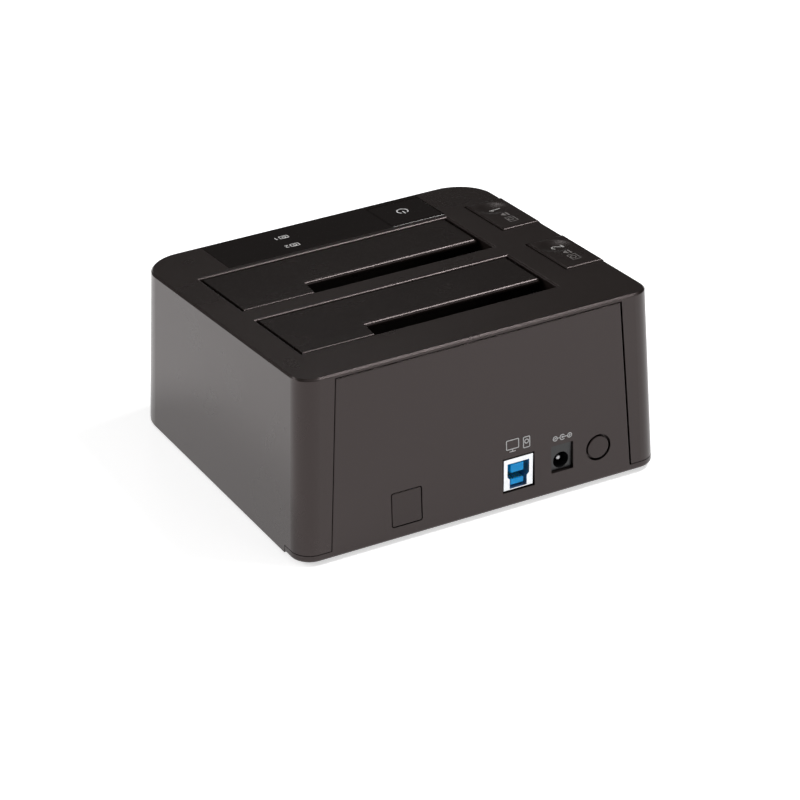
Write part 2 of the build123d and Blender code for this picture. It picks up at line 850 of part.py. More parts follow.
def make_flap(bay):
    """Spring-loaded door of a bay, notched for the smaller drive, with its knuckles and stops."""
    label = f"flap_{bay + 1}"
    left = bay_end_x + flap_gap
    right = bay_far_x - flap_gap
    start = along_deck(far_y(bay)) + flap_hinge_gap
    end = along_deck(near_y(bay)) - flap_gap
    notch = along_deck(near_y(bay)) - slot_depth
    plate_top = deck_plane.offset(-flap_sink)
    leg_drift = hinge_spring_leg * hinge_spring_pitch / (2 * math.pi * hinge_spring_radius)
    coil_length = hinge_spring_turns * hinge_spring_pitch + hinge_spring_wire
    spring_right = left + coil_length + leg_drift + 2 * hinge_spring_room
    knuckles = (spring_right, (left + right - knuckle_length) / 2, right - knuckle_length)
    axis_y = start + knuckle_radius
    stops = [slot_end_x + (right - slot_end_x) * share for share in stop_shares]
    ribs = [left + (right - left) * share for share in flap_rib_shares]
    stop_top = deck + clearance
    with BuildPart() as flap:
        with BuildSketch(plate_top):
            with BuildLine():
                Polyline((left, start), (right, start), (right, end), (slot_end_x + slot_slant, end),
                         (slot_end_x, notch), (left, notch), close=True)
            make_face()
        extrude(amount=-flap_thickness)
        corner = flap.edges().filter_by(Axis((0, 0, 0), deck_plane.z_dir)).sort_by_distance(
            plate_top.from_local_coords((left, notch, 0)))[0]
        fillet(corner, flap_corner)
        upper = flap.faces().sort_by(deck_axis)[-1].edges()
        near_rims = upper.filter_by(lambda edge: (edge @ 0.5).Y > far_y(bay) + bay_width / 2)
        fillet(near_rims.filter_by(Axis.X).sort_by(Axis.Y)[:1], flap_notch_edge)
        upper = flap.faces().sort_by(deck_axis)[-1].edges()
        fillet(upper.filter_by(lambda edge: (edge @ 0.5).Y > near_y(bay) - slot_depth + flap_edge), flap_edge)
        for x in knuckles:
            with BuildSketch(hinge_plane(bay, x)):
                Circle(knuckle_radius)
            extrude(amount=knuckle_length)
        with BuildSketch(plate_top.offset(-flap_thickness)):
            for x in ribs:
                with Locations((x, (axis_y + notch) / 2)):
                    Rectangle(flap_rib_width, notch - axis_y - 2 * flap_rib_width)
        extrude(amount=-flap_rib_height)
        with BuildSketch(deck_plane.offset(-stop_top)):
            for x in stops:
                with Locations((x, end)):
                    Rectangle(stop_width, 2 * (stop_reach + flap_gap))
        extrude(amount=-stop_thickness)
        with BuildSketch(deck_plane.offset(-stop_top)):
            for x in stops:
                with Locations((x, end - stop_reach)):
                    Rectangle(stop_width, stop_reach)
        extrude(amount=stop_top - flap_sink - flap_thickness)
        with BuildSketch(hinge_plane(bay, left - overrun)):
            Circle(hinge_pin_radius + running_clearance)
        extrude(amount=bay_length + 2 * overrun, mode=Mode.SUBTRACT)
        pocket_height = hinge_spring_radius + hinge_spring_wire / 2 + seat_gap
        with BuildSketch(hinge_plane(bay, left - overrun)):
            with Locations(((hinge_spring_leg - knuckle_radius) / 2, pocket_height / 2)):
                Rectangle(hinge_spring_leg + knuckle_radius + 2 * hinge_spring_room, pocket_height)
        extrude(amount=spring_right - left + overrun, mode=Mode.SUBTRACT)
    finish(flap.part, label)


def make_hinge_pin(bay):
    """Steel pin that a flap turns on, held in the lugs of the casing."""
    with BuildPart() as pin:
        with BuildSketch(hinge_plane(bay, bay_end_x - lug_length + clearance)):
            Circle(hinge_pin_radius)
        extrude(amount=bay_length + 2 * (lug_length - clearance))
    finish(pin.part, f"flap_pin_{bay + 1}")


def make_hinge_spring(bay):
    """Torsion spring round the hinge pin, with one leg under the flap."""
    start = hinge_point(bay, bay_end_x + flap_gap + hinge_spring_room + hinge_spring_wire / 2)
    coil_plane = Plane(origin=start, x_dir=(0, -sin_slope, cos_slope), z_dir=(1, 0, 0))
    coil_length = hinge_spring_turns * hinge_spring_pitch
    with BuildPart() as spring:
        with BuildLine() as path:
            flat_coil = Edge.make_helix(hinge_spring_pitch, coil_length, hinge_spring_radius, lefthand=True)
            coil = coil_plane.location * flat_coil
            add(coil)
            Line(coil @ 1, (coil @ 1) + (coil % 1) * hinge_spring_leg)
        with BuildSketch(Plane(origin=path.line @ 0, z_dir=path.line % 0)):
            Circle(hinge_spring_wire / 2)
        sweep(path=path.line, is_frenet=True)
    finish(spring.part, f"flap_spring_{bay + 1}")


def shelf_z(bay):
    """Top of the shelf that carries a button's spring."""
    return deck_z(button_y(bay), shelf_drop)


def leg_y(bay):
    """Middle of a button's leg."""
    return button_y(bay) + button_length / 2 - leg_inset


def dish_section():
    """Half section of a button's dish: an arc that runs out through a blend to the level of the cap."""
    bowl_high = dish_radius - dish_depth
    reach = dish_radius + dish_blend
    edge = math.sqrt(reach ** 2 - (bowl_high + dish_blend) ** 2)
    turn = math.asin(edge / reach)

    def bowl_point(angle):
        return (dish_radius * math.sin(angle), bowl_high - dish_radius * math.cos(angle))

    blend_middle = (edge - dish_blend * math.sin(turn / 2), dish_blend * (math.cos(turn / 2) - 1))
    with BuildSketch() as section:
        with BuildLine():
            ThreePointArc(bowl_point(0), bowl_point(turn / 2), bowl_point(turn))
            ThreePointArc(bowl_point(turn), blend_middle, (edge, 0))
            Polyline((edge, 0), (edge, overrun), (0, overrun), bowl_point(0))
        make_face()
    return section.sketch


def make_eject_button(bay):
    """Push button over the side edge of the deck: dished cap, skirts, spring post and long leg."""
    low = (-case_width / 2 - overrun, button_y(bay) - button_length / 2)
    high = (button_inner_x, button_y(bay) + button_length / 2)
    inner_low = (low[0], low[1] + button_wall)
    inner_high = (high[0] - button_wall, high[1] - button_wall)
    proud_form = case_form(-button_proud, -button_proud, True)
    core_form = case_form(button_wall, button_wall, 0.0)
    lip_x = clearance + button_edge - side_x(case_floor + case_height) + wall
    leg_foot = case_floor + lever_pivot_height + lever_thickness / 2 + clearance + leg_thickness / 2
    cap_under = deck_z(button_y(bay), button_wall)
    dish_place = deck_plane.from_local_coords((
        (button_inner_x - side_x(case_height)) / 2 + dish_shift_x,
        along_deck(button_y(bay) + dish_shift_y),
        button_proud))
    with BuildPart() as core:
        add(core_form)
        add(above_deck_level(inner_low, inner_high, button_side + overrun), mode=Mode.INTERSECT)
    with BuildPart() as button:
        add(proud_form)
        add(above_deck_level(low, high, button_side), mode=Mode.INTERSECT)
        add(core.part, mode=Mode.SUBTRACT)
        with BuildSketch(Plane(origin=dish_place, x_dir=(1, 0, 0), z_dir=(0, -cos_slope, -sin_slope))):
            add(dish_section())
        revolve(axis=Axis(dish_place, deck_plane.z_dir), mode=Mode.SUBTRACT)
        top_face = button.faces().sort_by(deck_axis)[-1]
        fillet(top_face.outer_wire().edges().sort_by(Axis.X)[1:], button_edge)
        with BuildSketch(deck_plane.offset(-button_wall / 2)):
            with Locations((lip_x + button_lip / 2, along_deck(button_y(bay)))):
                Rectangle(button_lip, along_deck(button_length))
        extrude(amount=button_wall / 2 - button_lip_depth)
        with BuildSketch(Plane.XY.offset(cap_under - button_post_length)):
            with Locations((button_spring_x, button_y(bay))):
                Circle(button_post_radius)
        extrude(amount=button_post_length + button_wall / 2)
        with BuildSketch(Plane.XY.offset(leg_foot)):
            with Locations((leg_x, leg_y(bay))):
                Rectangle(leg_thickness, leg_width)
        extrude(amount=cap_under + button_wall / 2 - leg_foot)
        with BuildSketch(Plane.XZ.offset(-leg_y(bay) - leg_width / 2)):
            with Locations((leg_x, leg_foot)):
                Circle(leg_thickness / 2)
        extrude(amount=leg_width)
    finish(button.part, f"eject_button_{bay + 1}")


def make_button_spring(bay):
    """Compression spring that lifts an eject button."""
    low = shelf_z(bay) + button_spring_room + button_spring_wire / 2
    high = deck_z(button_y(bay), button_wall) - button_spring_room - button_spring_wire / 2
    with BuildPart() as spring:
        with BuildLine(Plane(origin=(button_spring_x, button_y(bay), low), z_dir=(0, 0, 1))) as path:
            Helix((high - low) / button_spring_turns, high - low, button_spring_radius)
        with BuildSketch(Plane(origin=path.line @ 0, z_dir=path.line % 0)):
            Circle(button_spring_wire / 2)
        sweep(path=path.line, is_frenet=True)
    finish(spring.part, f"button_spring_{bay + 1}")


def lever_y(bay):
    """Middle of an ejector lever."""
    return near_y(bay) - lever_setback


def lever_plane(bay, shift):
    """Plane across a lever's pin, with the plane's x along the case and its y upwards."""
    pivot_z = case_floor + lever_pivot_height
    return Plane(origin=(lever_pivot_x, lever_y(bay) + shift, pivot_z), x_dir=(1, 0, 0), z_dir=(0, -1, 0))


def make_ejector_lever(bay):
    """Rocker under the cage: the button's leg pushes one end, the other lifts the drive."""
    tip_top = floor_top - lever_tip_sink - case_floor - lever_pivot_height
    half = lever_thickness / 2
    with BuildPart() as lever:
        with BuildSketch(lever_plane(bay, lever_width / 2)):
            with BuildLine():
                Polyline((-lever_outer_arm, -half), (lever_inner_arm, -half), (lever_inner_arm, tip_top),
                         (lever_inner_arm - lever_tip_thickness, tip_top),
                         (lever_inner_arm - lever_tip_thickness, half), (-lever_outer_arm, half), close=True)
            make_face()
            Circle(lever_knuckle_radius)
            Circle(lever_pin_radius + running_clearance, mode=Mode.SUBTRACT)
        extrude(amount=lever_width)
    finish(lever.part, f"ejector_lever_{bay + 1}")


def make_lever_pin(bay):
    """Pin that an ejector lever turns on, held in the ears of the cage."""
    half = lever_width / 2 + clearance + ear_wall
    with BuildPart() as pin:
        with BuildSketch(lever_plane(bay, half)):
            Circle(lever_pin_radius)
        extrude(amount=2 * half)
    finish(pin.part, f"lever_pin_{bay + 1}")


def make_drive_cage():
    """Inner frame: guide walls of both bays, their floor, lever ears and spring shelves."""
    low_x = bay_end_x - cage_wall
    high_x = bay_far_x + cage_wall
    floor_under = floor_top - cage_floor
    deck_high = deck_z(case_depth)
    ear_depth = lever_pivot_height - cage_floor_height - lever_knuckle_radius
    with BuildPart() as walls:
        for bay in range(len(bay_centres)):
            with BuildSketch(Plane.XY.offset(floor_under)):
                with Locations((bay_centre_x, bay_centres[bay])):
                    Rectangle(bay_length + 2 * cage_wall, bay_width + 2 * cage_wall)
                    Rectangle(bay_length, bay_width, mode=Mode.SUBTRACT)
            extrude(amount=deck_high - floor_under)
        for x in (low_x + cage_wall / 2, bay_centre_x, high_x - cage_wall / 2):
            with BuildSketch(Plane.XY.offset(floor_under)):
                with Locations((x, (near_y(0) + far_y(1)) / 2)):
                    Rectangle(cage_wall, far_y(1) - near_y(0) - cage_wall)
            extrude(amount=deck_high - floor_under)
        split(bisect_by=deck_plane.offset(-cage_top_drop), keep=Keep.BOTTOM)
        for bay in range(len(bay_centres)):
            window_low = (slot_end_x - window_margin, near_y(bay) - overrun / 2)
            window_high = (bay_far_x, near_y(bay) + cage_wall + clearance)
            add(above_deck_level(window_low, window_high, window_drop), mode=Mode.SUBTRACT)
    with BuildPart() as drive_cage:
        add(walls.part)
        with BuildSketch(Plane.XY.offset(floor_under)):
            with Locations(((low_x + high_x) / 2, (far_y(0) + near_y(1)) / 2)):
                Rectangle(high_x - low_x, near_y(1) - far_y(0) + 2 * cage_wall)
            with Locations(*cage_bosses()):
                Circle(cage_tab_radius)
                Rectangle(2 * cage_tab_radius, cage_tab + 2 * cage_wall)
            for bay in range(len(bay_centres)):
                with Locations(((low_x + lever_pivot_x - ear_width) / 2, lever_y(bay))):
                    Rectangle(low_x - lever_pivot_x + ear_width, lever_width + 2 * (clearance + ear_wall))
        extrude(amount=cage_floor)
        for bay in range(len(bay_centres)):
            ear_shift = (lever_width + ear_wall) / 2 + clearance
            with BuildSketch(Plane.XY.offset(floor_under)):
                for side in (-1, 1):
                    with Locations((lever_pivot_x, lever_y(bay) + side * ear_shift)):
                        Rectangle(ear_width, ear_wall)
            extrude(amount=ear_depth)
            shelf_reach = 2 * button_spring_radius
            shelf_low = (button_spring_x - shelf_reach - clearance, button_y(bay) - shelf_reach)
            shelf_high = (low_x + cage_wall / 2, leg_y(bay) + leg_width)
            add(box_between((*shelf_low, shelf_z(bay) - shelf_wall), (*shelf_high, shelf_z(bay))))
            with Locations((leg_x, leg_y(bay), shelf_z(bay))):
                Box(leg_thickness + 2 * key_gap, leg_width + 2 * key_gap, 2 * overrun, mode=Mode.SUBTRACT)
            with BuildSketch(Plane.XY.offset(shelf_z(bay))):
                with Locations((button_spring_x, button_y(bay))):
                    Circle(button_post_radius)
            extrude(amount=shelf_post_length)
            slot_low = lever_pivot_x + lever_inner_arm - lever_tip_thickness - lever_slot_room
            slot_high = lever_pivot_x + lever_inner_arm + lever_slot_room / 2
            with Locations(((slot_low + slot_high) / 2, lever_y(bay), floor_under)):
                Box(slot_high - slot_low, lever_width + 2 * key_gap, 2 * overrun, mode=Mode.SUBTRACT)
            with Locations((socket_x, socket_y(bay), floor_under)):
                Box(sata_length + 2 * key_gap, sata_width + 2 * key_gap, 2 * overrun, mode=Mode.SUBTRACT)
            with BuildSketch(lever_plane(bay, lever_width)):
                Circle(lever_pin_radius + running_clearance)
            extrude(amount=2 * lever_width, mode=Mode.SUBTRACT)
        with BuildSketch(Plane.XY.offset(board_top)):
            with Locations(*[(x, y) for x in board_screw_xs for y in board_screw_ys]):
                Circle(cage_foot_radius)
        extrude(amount=floor_under - board_top)
        with Locations(*[(x, y, board_top) for x in board_screw_xs for y in board_screw_ys]):
            Cylinder(small_screw_radius + running_clearance, small_screw_length, mode=Mode.SUBTRACT)
        with Locations(*[(x, y, floor_under) for x, y in cage_bosses()]):
            Cylinder(screw_radius + clearance, 2 * overrun, mode=Mode.SUBTRACT)
    finish(drive_cage.part, "drive_cage")


def make_screws():
    """Fasteners of the case, the cage and the main board, each kind as one group."""
    board_places = [(x, y) for x in board_screw_xs for y in board_screw_ys]
    counterbore = screw_head_height + clearance
    case_shank = tray_floor - counterbore + case_screw_length / 2
    cage_shank = cage_floor + case_screw_length / 2
    board_shank = board_thickness + small_screw_length / 2 - running_clearance
    large = (screw_radius, screw_head_radius, screw_head_height)
    small = (small_screw_radius, small_head_radius, small_head_height)
    groups = {
        "case_screws": (case_screw_places, case_floor + counterbore, case_shank, large),
        "cage_screws": (cage_bosses(), floor_top - cage_floor, cage_shank, large),
        "board_screws": (board_places, board_under, board_shank, small),
    }
    for label, (places, seat, length, (shank, head, head_height)) in groups.items():
        with BuildPart() as screws:
            with BuildSketch(Plane.XY.offset(seat)):
                with Locations(*places):
                    Circle(head)
            extrude(amount=-head_height)
            with BuildSketch(Plane.XY.offset(seat)):
                with Locations(*places):
                    Circle(shank)
            extrude(amount=length)
        finish(screws.part, label)


def make_main_board():
    """Main circuit board, hung under the floor of the cage."""
    middle = ((board_left_x + board_right_x) / 2, (board_front_y + board_rear_y) / 2)
    with BuildPart() as main_board:
        with BuildSketch(Plane.XY.offset(board_under)):
            with Locations(middle):
                Rectangle(board_right_x - board_left_x, board_rear_y - board_front_y)
            with Locations(*[(x, y) for x in board_screw_xs for y in board_screw_ys]):
                Circle(small_screw_radius + clearance / 2, mode=Mode.SUBTRACT)
        extrude(amount=board_thickness)
    finish(main_board.part, "main_board")


def make_components():
    """Bridge chip with its heat sink, capacitors and coils on the underside of the board."""
    with BuildPart() as bridge_chip:
        with BuildSketch(Plane.XY.offset(board_under)):
            with Locations((chip_x, chip_y)):
                Rectangle(chip_size, chip_size)
        extrude(amount=-chip_height)
    finish(bridge_chip.part, "bridge_chip")

    with BuildPart() as heat_sink:
        with BuildSketch(Plane.XY.offset(board_under - chip_height)):
            with Locations((chip_x, chip_y)):
                Rectangle(sink_size, sink_size)
        extrude(amount=-sink_base)
        with BuildSketch(Plane.XY.offset(board_under - chip_height - sink_base)):
            with Locations((chip_x, chip_y)):
                with GridLocations((sink_size - sink_fin_wall) / (sink_fins - 1), 0, sink_fins, 1):
                    Rectangle(sink_fin_wall, sink_size)
        extrude(amount=sink_base - sink_height)
    finish(heat_sink.part, "heat_sink")

    with BuildPart() as capacitors:
        with BuildSketch(Plane.XY.offset(board_under)):
            with Locations(*can_places):
                Circle(can_radius)
        extrude(amount=-can_height)
        fillet(capacitors.edges().group_by(Axis.Z)[0], can_radius / 8)
    finish(capacitors.part, "capacitors")

    with BuildPart() as coils:
        with BuildSketch(Plane.XY.offset(board_under)):
            with Locations(*coil_places):
                RectangleRounded(coil_size, coil_size, coil_size / 6)
        extrude(amount=-coil_height)
    finish(coils.part, "coils")


def make_sata_socket(bay):
    """Upright drive socket that rises from the board through the floor of a bay."""
    middle = (socket_x, socket_y(bay))
    top = floor_top + sata_rise
    with BuildPart() as socket:
        with BuildSketch(Plane.XY.offset(board_top)):
            with Locations(middle):
                Rectangle(sata_length, sata_width)
        extrude(amount=top - board_top)
        with BuildSketch(Plane.XY.offset(top)):
            with Locations(middle):
                Rectangle(sata_length - 2 * sata_wall, sata_width - 2 * sata_wall)
        extrude(amount=-sata_depth, mode=Mode.SUBTRACT)
        with BuildSketch(Plane.XY.offset(top - sata_depth)):
            for share, length_share in sata_tongue_shares:
                with Locations((middle[0] + share * sata_length, middle[1])):
                    Rectangle(length_share * sata_length, sata_tongue)
        extrude(amount=sata_depth - sata_tongue / 2)
    finish(socket.part, f"sata_socket_{bay + 1}")


def make_sata_contacts():
    """Gold strips on both faces of the tongues of the drive sockets."""
    top = floor_top + sata_rise - sata_tongue / 2
    strip = sata_contact_thickness
    with BuildPart() as sata_contacts:
        with BuildSketch(Plane.XY.offset(top - sata_contact_length)):
            for bay in range(len(bay_centres)):
                for (share, length_share), count in zip(sata_tongue_shares, sata_contact_counts):
                    span = length_share * sata_length
                    with Locations((socket_x + share * sata_length, socket_y(bay))):
                        with GridLocations(span / count, sata_tongue + strip, count, 2):
                            Rectangle(sata_contact_width, strip)
        extrude(amount=sata_contact_length)
    finish(sata_contacts.part, "sata_contacts")


def usb_profile():
    """Half-turned T of the USB mouth: corners in the plane of the rear face, from its foot."""
    foot = board_under - usb_height + usb_bottom_wall
    step = foot + usb_neck_height
    top = step + usb_mouth_chamfer + usb_mouth_height
    neck = usb_neck_width / 2
    mouth = usb_mouth_width / 2
    half = ((neck, foot), (neck, step), (mouth, step + usb_mouth_chamfer), (mouth, top))
    return [(usb_x + x, z) for x, z in half] + [(usb_x - x, z) for x, z in reversed(half)]


def make_usb_socket():
    """USB socket under the board: metal shell, coloured tongues and their contacts."""
    face_y = rear_y(board_under - usb_height / 2) - usb_recess
    face = Plane.XZ.offset(-face_y)
    foot = board_under - usb_height + usb_bottom_wall
    back_y = face_y - usb_mouth_depth
    tongues = ((usb_tongue_rise, usb_tongue_height), (usb_low_tongue_rise, usb_low_tongue_height))
    with BuildPart() as usb_shell:
        with BuildSketch(face):
            with Locations((usb_x, board_under - usb_height / 2)):
                Rectangle(usb_width, usb_height)
        extrude(amount=usb_length)
        with BuildSketch(face):
            with BuildLine():
                Polyline(*usb_profile(), close=True)
            make_face()
        extrude(amount=usb_mouth_depth, mode=Mode.SUBTRACT)
    finish(usb_shell.part, "usb_shell")

    with BuildPart() as usb_tongue:
        with BuildSketch(Plane.XZ.offset(-back_y)):
            with BuildLine():
                Polyline(*usb_profile(), close=True)
            make_face()
            offset(amount=-running_clearance, mode=Mode.REPLACE)
        extrude(amount=-usb_tongue_setback)
        with BuildSketch(Plane.XZ.offset(-back_y)):
            for rise, tall in tongues:
                with Locations((usb_x, foot + rise + tall / 2)):
                    Rectangle(usb_tongue_width, tall)
        extrude(amount=usb_tongue_setback - usb_mouth_depth)
    finish(usb_tongue.part, "usb_tongue")

    with BuildPart() as usb_contacts:
        with BuildSketch(Plane.XZ.offset(-back_y - usb_tongue_setback)):
            with Locations((usb_x, foot + usb_tongue_rise + usb_tongue_height / 2)):
                with GridLocations(usb_tongue_width / 2, usb_tongue_height + usb_pin_thickness, 2, 2):
                    Rectangle(2 * usb_pin_width, usb_pin_thickness)
            low_face = foot + usb_low_tongue_rise + usb_low_tongue_height + usb_pin_thickness / 2
            with Locations((usb_x, low_face)):
                with GridLocations(usb_tongue_width / 5, 0, 5, 1):
                    Rectangle(usb_pin_width, usb_pin_thickness)
        extrude(amount=2 * usb_tongue_setback - usb_mouth_depth + usb_pin_width)
    finish(usb_contacts.part, "usb_contacts")


def make_dc_jack():
    """Power socket under the board: moulded body and centre pin."""
    middle_z = board_under - dc_body_height / 2
    face_y = rear_y(middle_z) - dc_recess
    hole_z = board_under - dc_hole_drop
    with BuildPart() as dc_jack:
        with BuildSketch(Plane.XZ.offset(-face_y)):
            with Locations((dc_x, middle_z)):
                Rectangle(dc_width, dc_body_height)
        extrude(amount=dc_length)
        with BuildSketch(Plane.XZ.offset(-face_y)):
            with Locations((dc_x, hole_z)):
                Circle(dc_hole_radius)
        extrude(amount=dc_hole_depth, mode=Mode.SUBTRACT)
    finish(dc_jack.part, "dc_jack")

    with BuildPart() as dc_pin:
        with BuildSketch(Plane.XZ.offset(-face_y + dc_hole_depth)):
            with Locations((dc_x, hole_z)):
                Circle(dc_pin_radius)
        extrude(amount=dc_pin_setback - dc_hole_depth)
        fillet(dc_pin.edges().sort_by(Axis.Y)[-1], dc_pin_radius / 2)
    finish(dc_pin.part, "dc_pin")


def make_board_lead():
    """Flat lead between the front board and the main board, and the sockets at its two ends."""
    top_z = deck_z(lead_drop_y, front_board_drop + front_board_thickness)
    low_z = board_top + lead_socket_height / 2
    start_z = top_z - lead_socket_height
    end_y = lead_end_y - lead_socket_length
    bend = lead_bend_share * min(start_z - low_z, end_y - lead_drop_y)
    with BuildPart() as board_lead:
        with BuildSketch(Plane.YZ.offset(lead_x - lead_width / 2)):
            with BuildLine():
                FilletPolyline((lead_drop_y, start_z), (lead_drop_y, low_z), (end_y, low_z), radius=bend)
            trace(line_width=lead_thickness)
        extrude(amount=lead_width)
    finish(board_lead.part, "board_lead")

    with BuildPart() as lead_sockets:
        with BuildSketch(Plane.XY.offset(board_top)):
            with Locations((lead_x, lead_end_y - lead_socket_length / 2)):
                Rectangle(lead_width + 2 * lead_thickness, lead_socket_length)
        extrude(amount=lead_socket_height)
        with BuildSketch(deck_plane.offset(-front_board_drop - front_board_thickness)):
            with Locations((lead_x, along_deck(lead_drop_y))):
                Rectangle(lead_width + 2 * lead_thickness, lead_socket_length)
        extrude(amount=-lead_socket_height + lead_thickness / 2)
    finish(lead_sockets.part, "lead_sockets")


make_top_shell()
make_base_tray()
make_feet()
make_plugs()
make_lens_strip()
make_power_key()
make_front_board()
for bay_number in range(len(bay_centres)):
    make_flap(bay_number)
    make_hinge_pin(bay_number)
    make_hinge_spring(bay_number)
    make_eject_button(bay_number)
    make_button_spring(bay_number)
    make_ejector_lever(bay_number)
    make_lever_pin(bay_number)
    make_sata_socket(bay_number)
make_drive_cage()
make_screws()
make_main_board()
make_components()
make_sata_contacts()
make_usb_socket()
make_dc_jack()
make_board_lead()
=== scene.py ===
import math

import bpy
import numpy as np
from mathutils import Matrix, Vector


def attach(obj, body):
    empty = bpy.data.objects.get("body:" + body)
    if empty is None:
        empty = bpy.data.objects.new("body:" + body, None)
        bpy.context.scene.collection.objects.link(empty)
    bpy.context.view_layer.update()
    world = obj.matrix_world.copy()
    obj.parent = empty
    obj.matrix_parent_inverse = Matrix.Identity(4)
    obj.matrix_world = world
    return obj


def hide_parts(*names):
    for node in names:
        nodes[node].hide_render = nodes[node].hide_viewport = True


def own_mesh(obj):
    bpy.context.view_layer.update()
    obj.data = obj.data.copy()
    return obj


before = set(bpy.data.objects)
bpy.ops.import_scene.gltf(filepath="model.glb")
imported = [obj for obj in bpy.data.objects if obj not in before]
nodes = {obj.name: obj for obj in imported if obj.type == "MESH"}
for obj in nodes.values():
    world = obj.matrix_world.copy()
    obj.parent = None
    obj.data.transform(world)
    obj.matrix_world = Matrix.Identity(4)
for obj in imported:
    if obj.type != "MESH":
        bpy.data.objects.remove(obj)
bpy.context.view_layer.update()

# Visual model of a two-bay drive dock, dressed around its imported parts. Lengths here are in
# millimetres until a mesh is made, and every mesh is in metres, in the frame of the parts.
mm = 0.001


# Placed points: the deck, the rear panel and the dished buttons
case = {
    "foot": 1.5,            # lower edge of the case above the table
    "height": 70.8,         # at the rear wall
    "depth": 135.0,
    "slope": 4.5,           # degrees, deck down towards the front
    "draft": 2.5,           # degrees, walls lean in
    "bays": (-19.85, 25.15),
}
slope = math.radians(case["slope"])
draft = math.radians(case["draft"])
lean = math.tan(draft)
deckZero = case["foot"] + case["height"] - (case["depth"] / 2 - case["height"] * lean) * math.tan(slope)


def onDeck(x, y, rise):
    # a place in plan (x, y) and a height square to the deck, for whole arrays
    z = deckZero + y * math.tan(slope) + rise * math.cos(slope)
    return np.stack([x, y - rise * math.sin(slope), z], -1)


def onRear(x, z, rise):
    # a place on the leaning rear wall, z above the table, rise outwards
    y = case["depth"] / 2 - (z - case["foot"]) * lean
    return np.stack([x, y + rise * math.cos(draft), z + rise * math.sin(draft)], -1)


button = {
    "shift": -8.0,          # middle of a button from the middle of its bay
    "proud": 0.35,
    "dishRadius": 30.0,     # of its hollow arc
    "dishDepth": 0.58,
    "dishBlend": 10.0,      # radius of the raised arc round it
    "dishX": -62.86,
    "dishY": -6.5,          # from the middle of the button
    "springX": -60.7,
    "springRadius": 2.5,
    "springWire": 0.6,
    "springTurns": 7.5,
    "springFoot": 0.02,     # room under the spring
    "springRoom": 0.25,     # room over it, under the cap
    "travel": 3.0,
    "shelfDrop": 20.0,
    "capWall": 1.8,
}


def onButton(x, y, rise, bay):
    # the face is a plane with a dish turned about (dishX, middle): a hollow arc of radius R that meets
    # a raised arc of radius b, whose top lies in the plane at edge = sqrt((R + b)^2 - (R - depth + b)^2)
    big, small = button["dishRadius"], button["dishBlend"]
    middle = case["bays"][bay] + button["shift"] + button["dishY"]
    away = np.sqrt((x - button["dishX"]) ** 2 + ((y - middle) / math.cos(slope)) ** 2)
    edge = math.sqrt((big + small) ** 2 - (big - button["dishDepth"] + small) ** 2)
    hollow = big - button["dishDepth"] - np.sqrt(big ** 2 - np.minimum(away, edge) ** 2)
    blend = np.sqrt(small ** 2 - (edge - np.minimum(away, edge)) ** 2) - small
    dish = np.where(away < edge * big / (big + small), hollow, blend)
    return onDeck(x, y, button["proud"] + dish + rise)


# Meshes
def makePiece(name, points, faces, material, body, smooth=True):
    mesh = bpy.data.meshes.new(name)
    corners = [tuple(int(i) for i in face) for face in faces]
    mesh.from_pydata((np.asarray(points, float) * mm).tolist(), [], corners)
    mesh.validate()
    mesh.polygons.foreach_set("use_smooth", [smooth] * len(mesh.polygons))
    mesh.materials.append(material)
    piece = bpy.data.objects.new(name, mesh)
    bpy.context.scene.collection.objects.link(piece)
    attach(piece, body)
    return piece


def gridFaces(rows, columns, wrapRows=False, wrapColumns=False):
    # quads of a grid of points, rows by columns, closed on itself where asked
    r = np.arange(rows if wrapRows else rows - 1)[:, None]
    c = np.arange(columns if wrapColumns else columns - 1)[None, :]
    r2, c2 = (r + 1) % rows, (c + 1) % columns
    corners = [r * columns + c, r * columns + c2, r2 * columns + c2, r2 * columns + c]
    return np.stack([np.broadcast_to(k, (r.shape[0], c.shape[1])) for k in corners], -1).reshape(-1, 4)


def arc(x, y, radius, start, end, count=24):
    # points of a circle's arc, angles in degrees
    angle = np.radians(np.linspace(start, end, count))
    return np.stack([x + radius * np.cos(angle), y + radius * np.sin(angle)], -1)


def boxLine(x, y, width, height, corner=0.4):
    # closed outline of a rounded rectangle about (x, y)
    w, h = width / 2 - corner, height / 2 - corner
    turns = [(w, h, 0), (-w, h, 90), (-w, -h, 180), (w, -h, 270)]
    points = np.concatenate([arc(x + a, y + b, corner, t, t + 90, 6) for a, b, t in turns])
    return np.concatenate([points, points[:1]])


def ribbon(path, width):
    # a flat band along a line: each point moved to both sides along the mean of its neighbours' normals
    path = np.asarray(path, float)
    closed = np.allclose(path[0], path[-1])
    step = np.diff(path, axis=0)
    step /= np.linalg.norm(step, axis=1)[:, None]
    before = np.concatenate([step[-1:] if closed else step[:1], step])
    after = np.concatenate([step, step[:1] if closed else step[-1:]])
    mean = before + after
    mean /= np.linalg.norm(mean, axis=1)[:, None]
    reach = width / 2 / np.clip((mean * before).sum(1), 0.4, 1)
    side = np.stack([-mean[:, 1], mean[:, 0]], -1) * reach[:, None]
    return np.stack([path + side, path - side], 1).reshape(-1, 2), gridFaces(len(path), 2)[:, ::-1]


def filled(outline):
    # a convex outline as one face
    outline = np.asarray(outline, float)
    return outline, [tuple(range(len(outline)))]


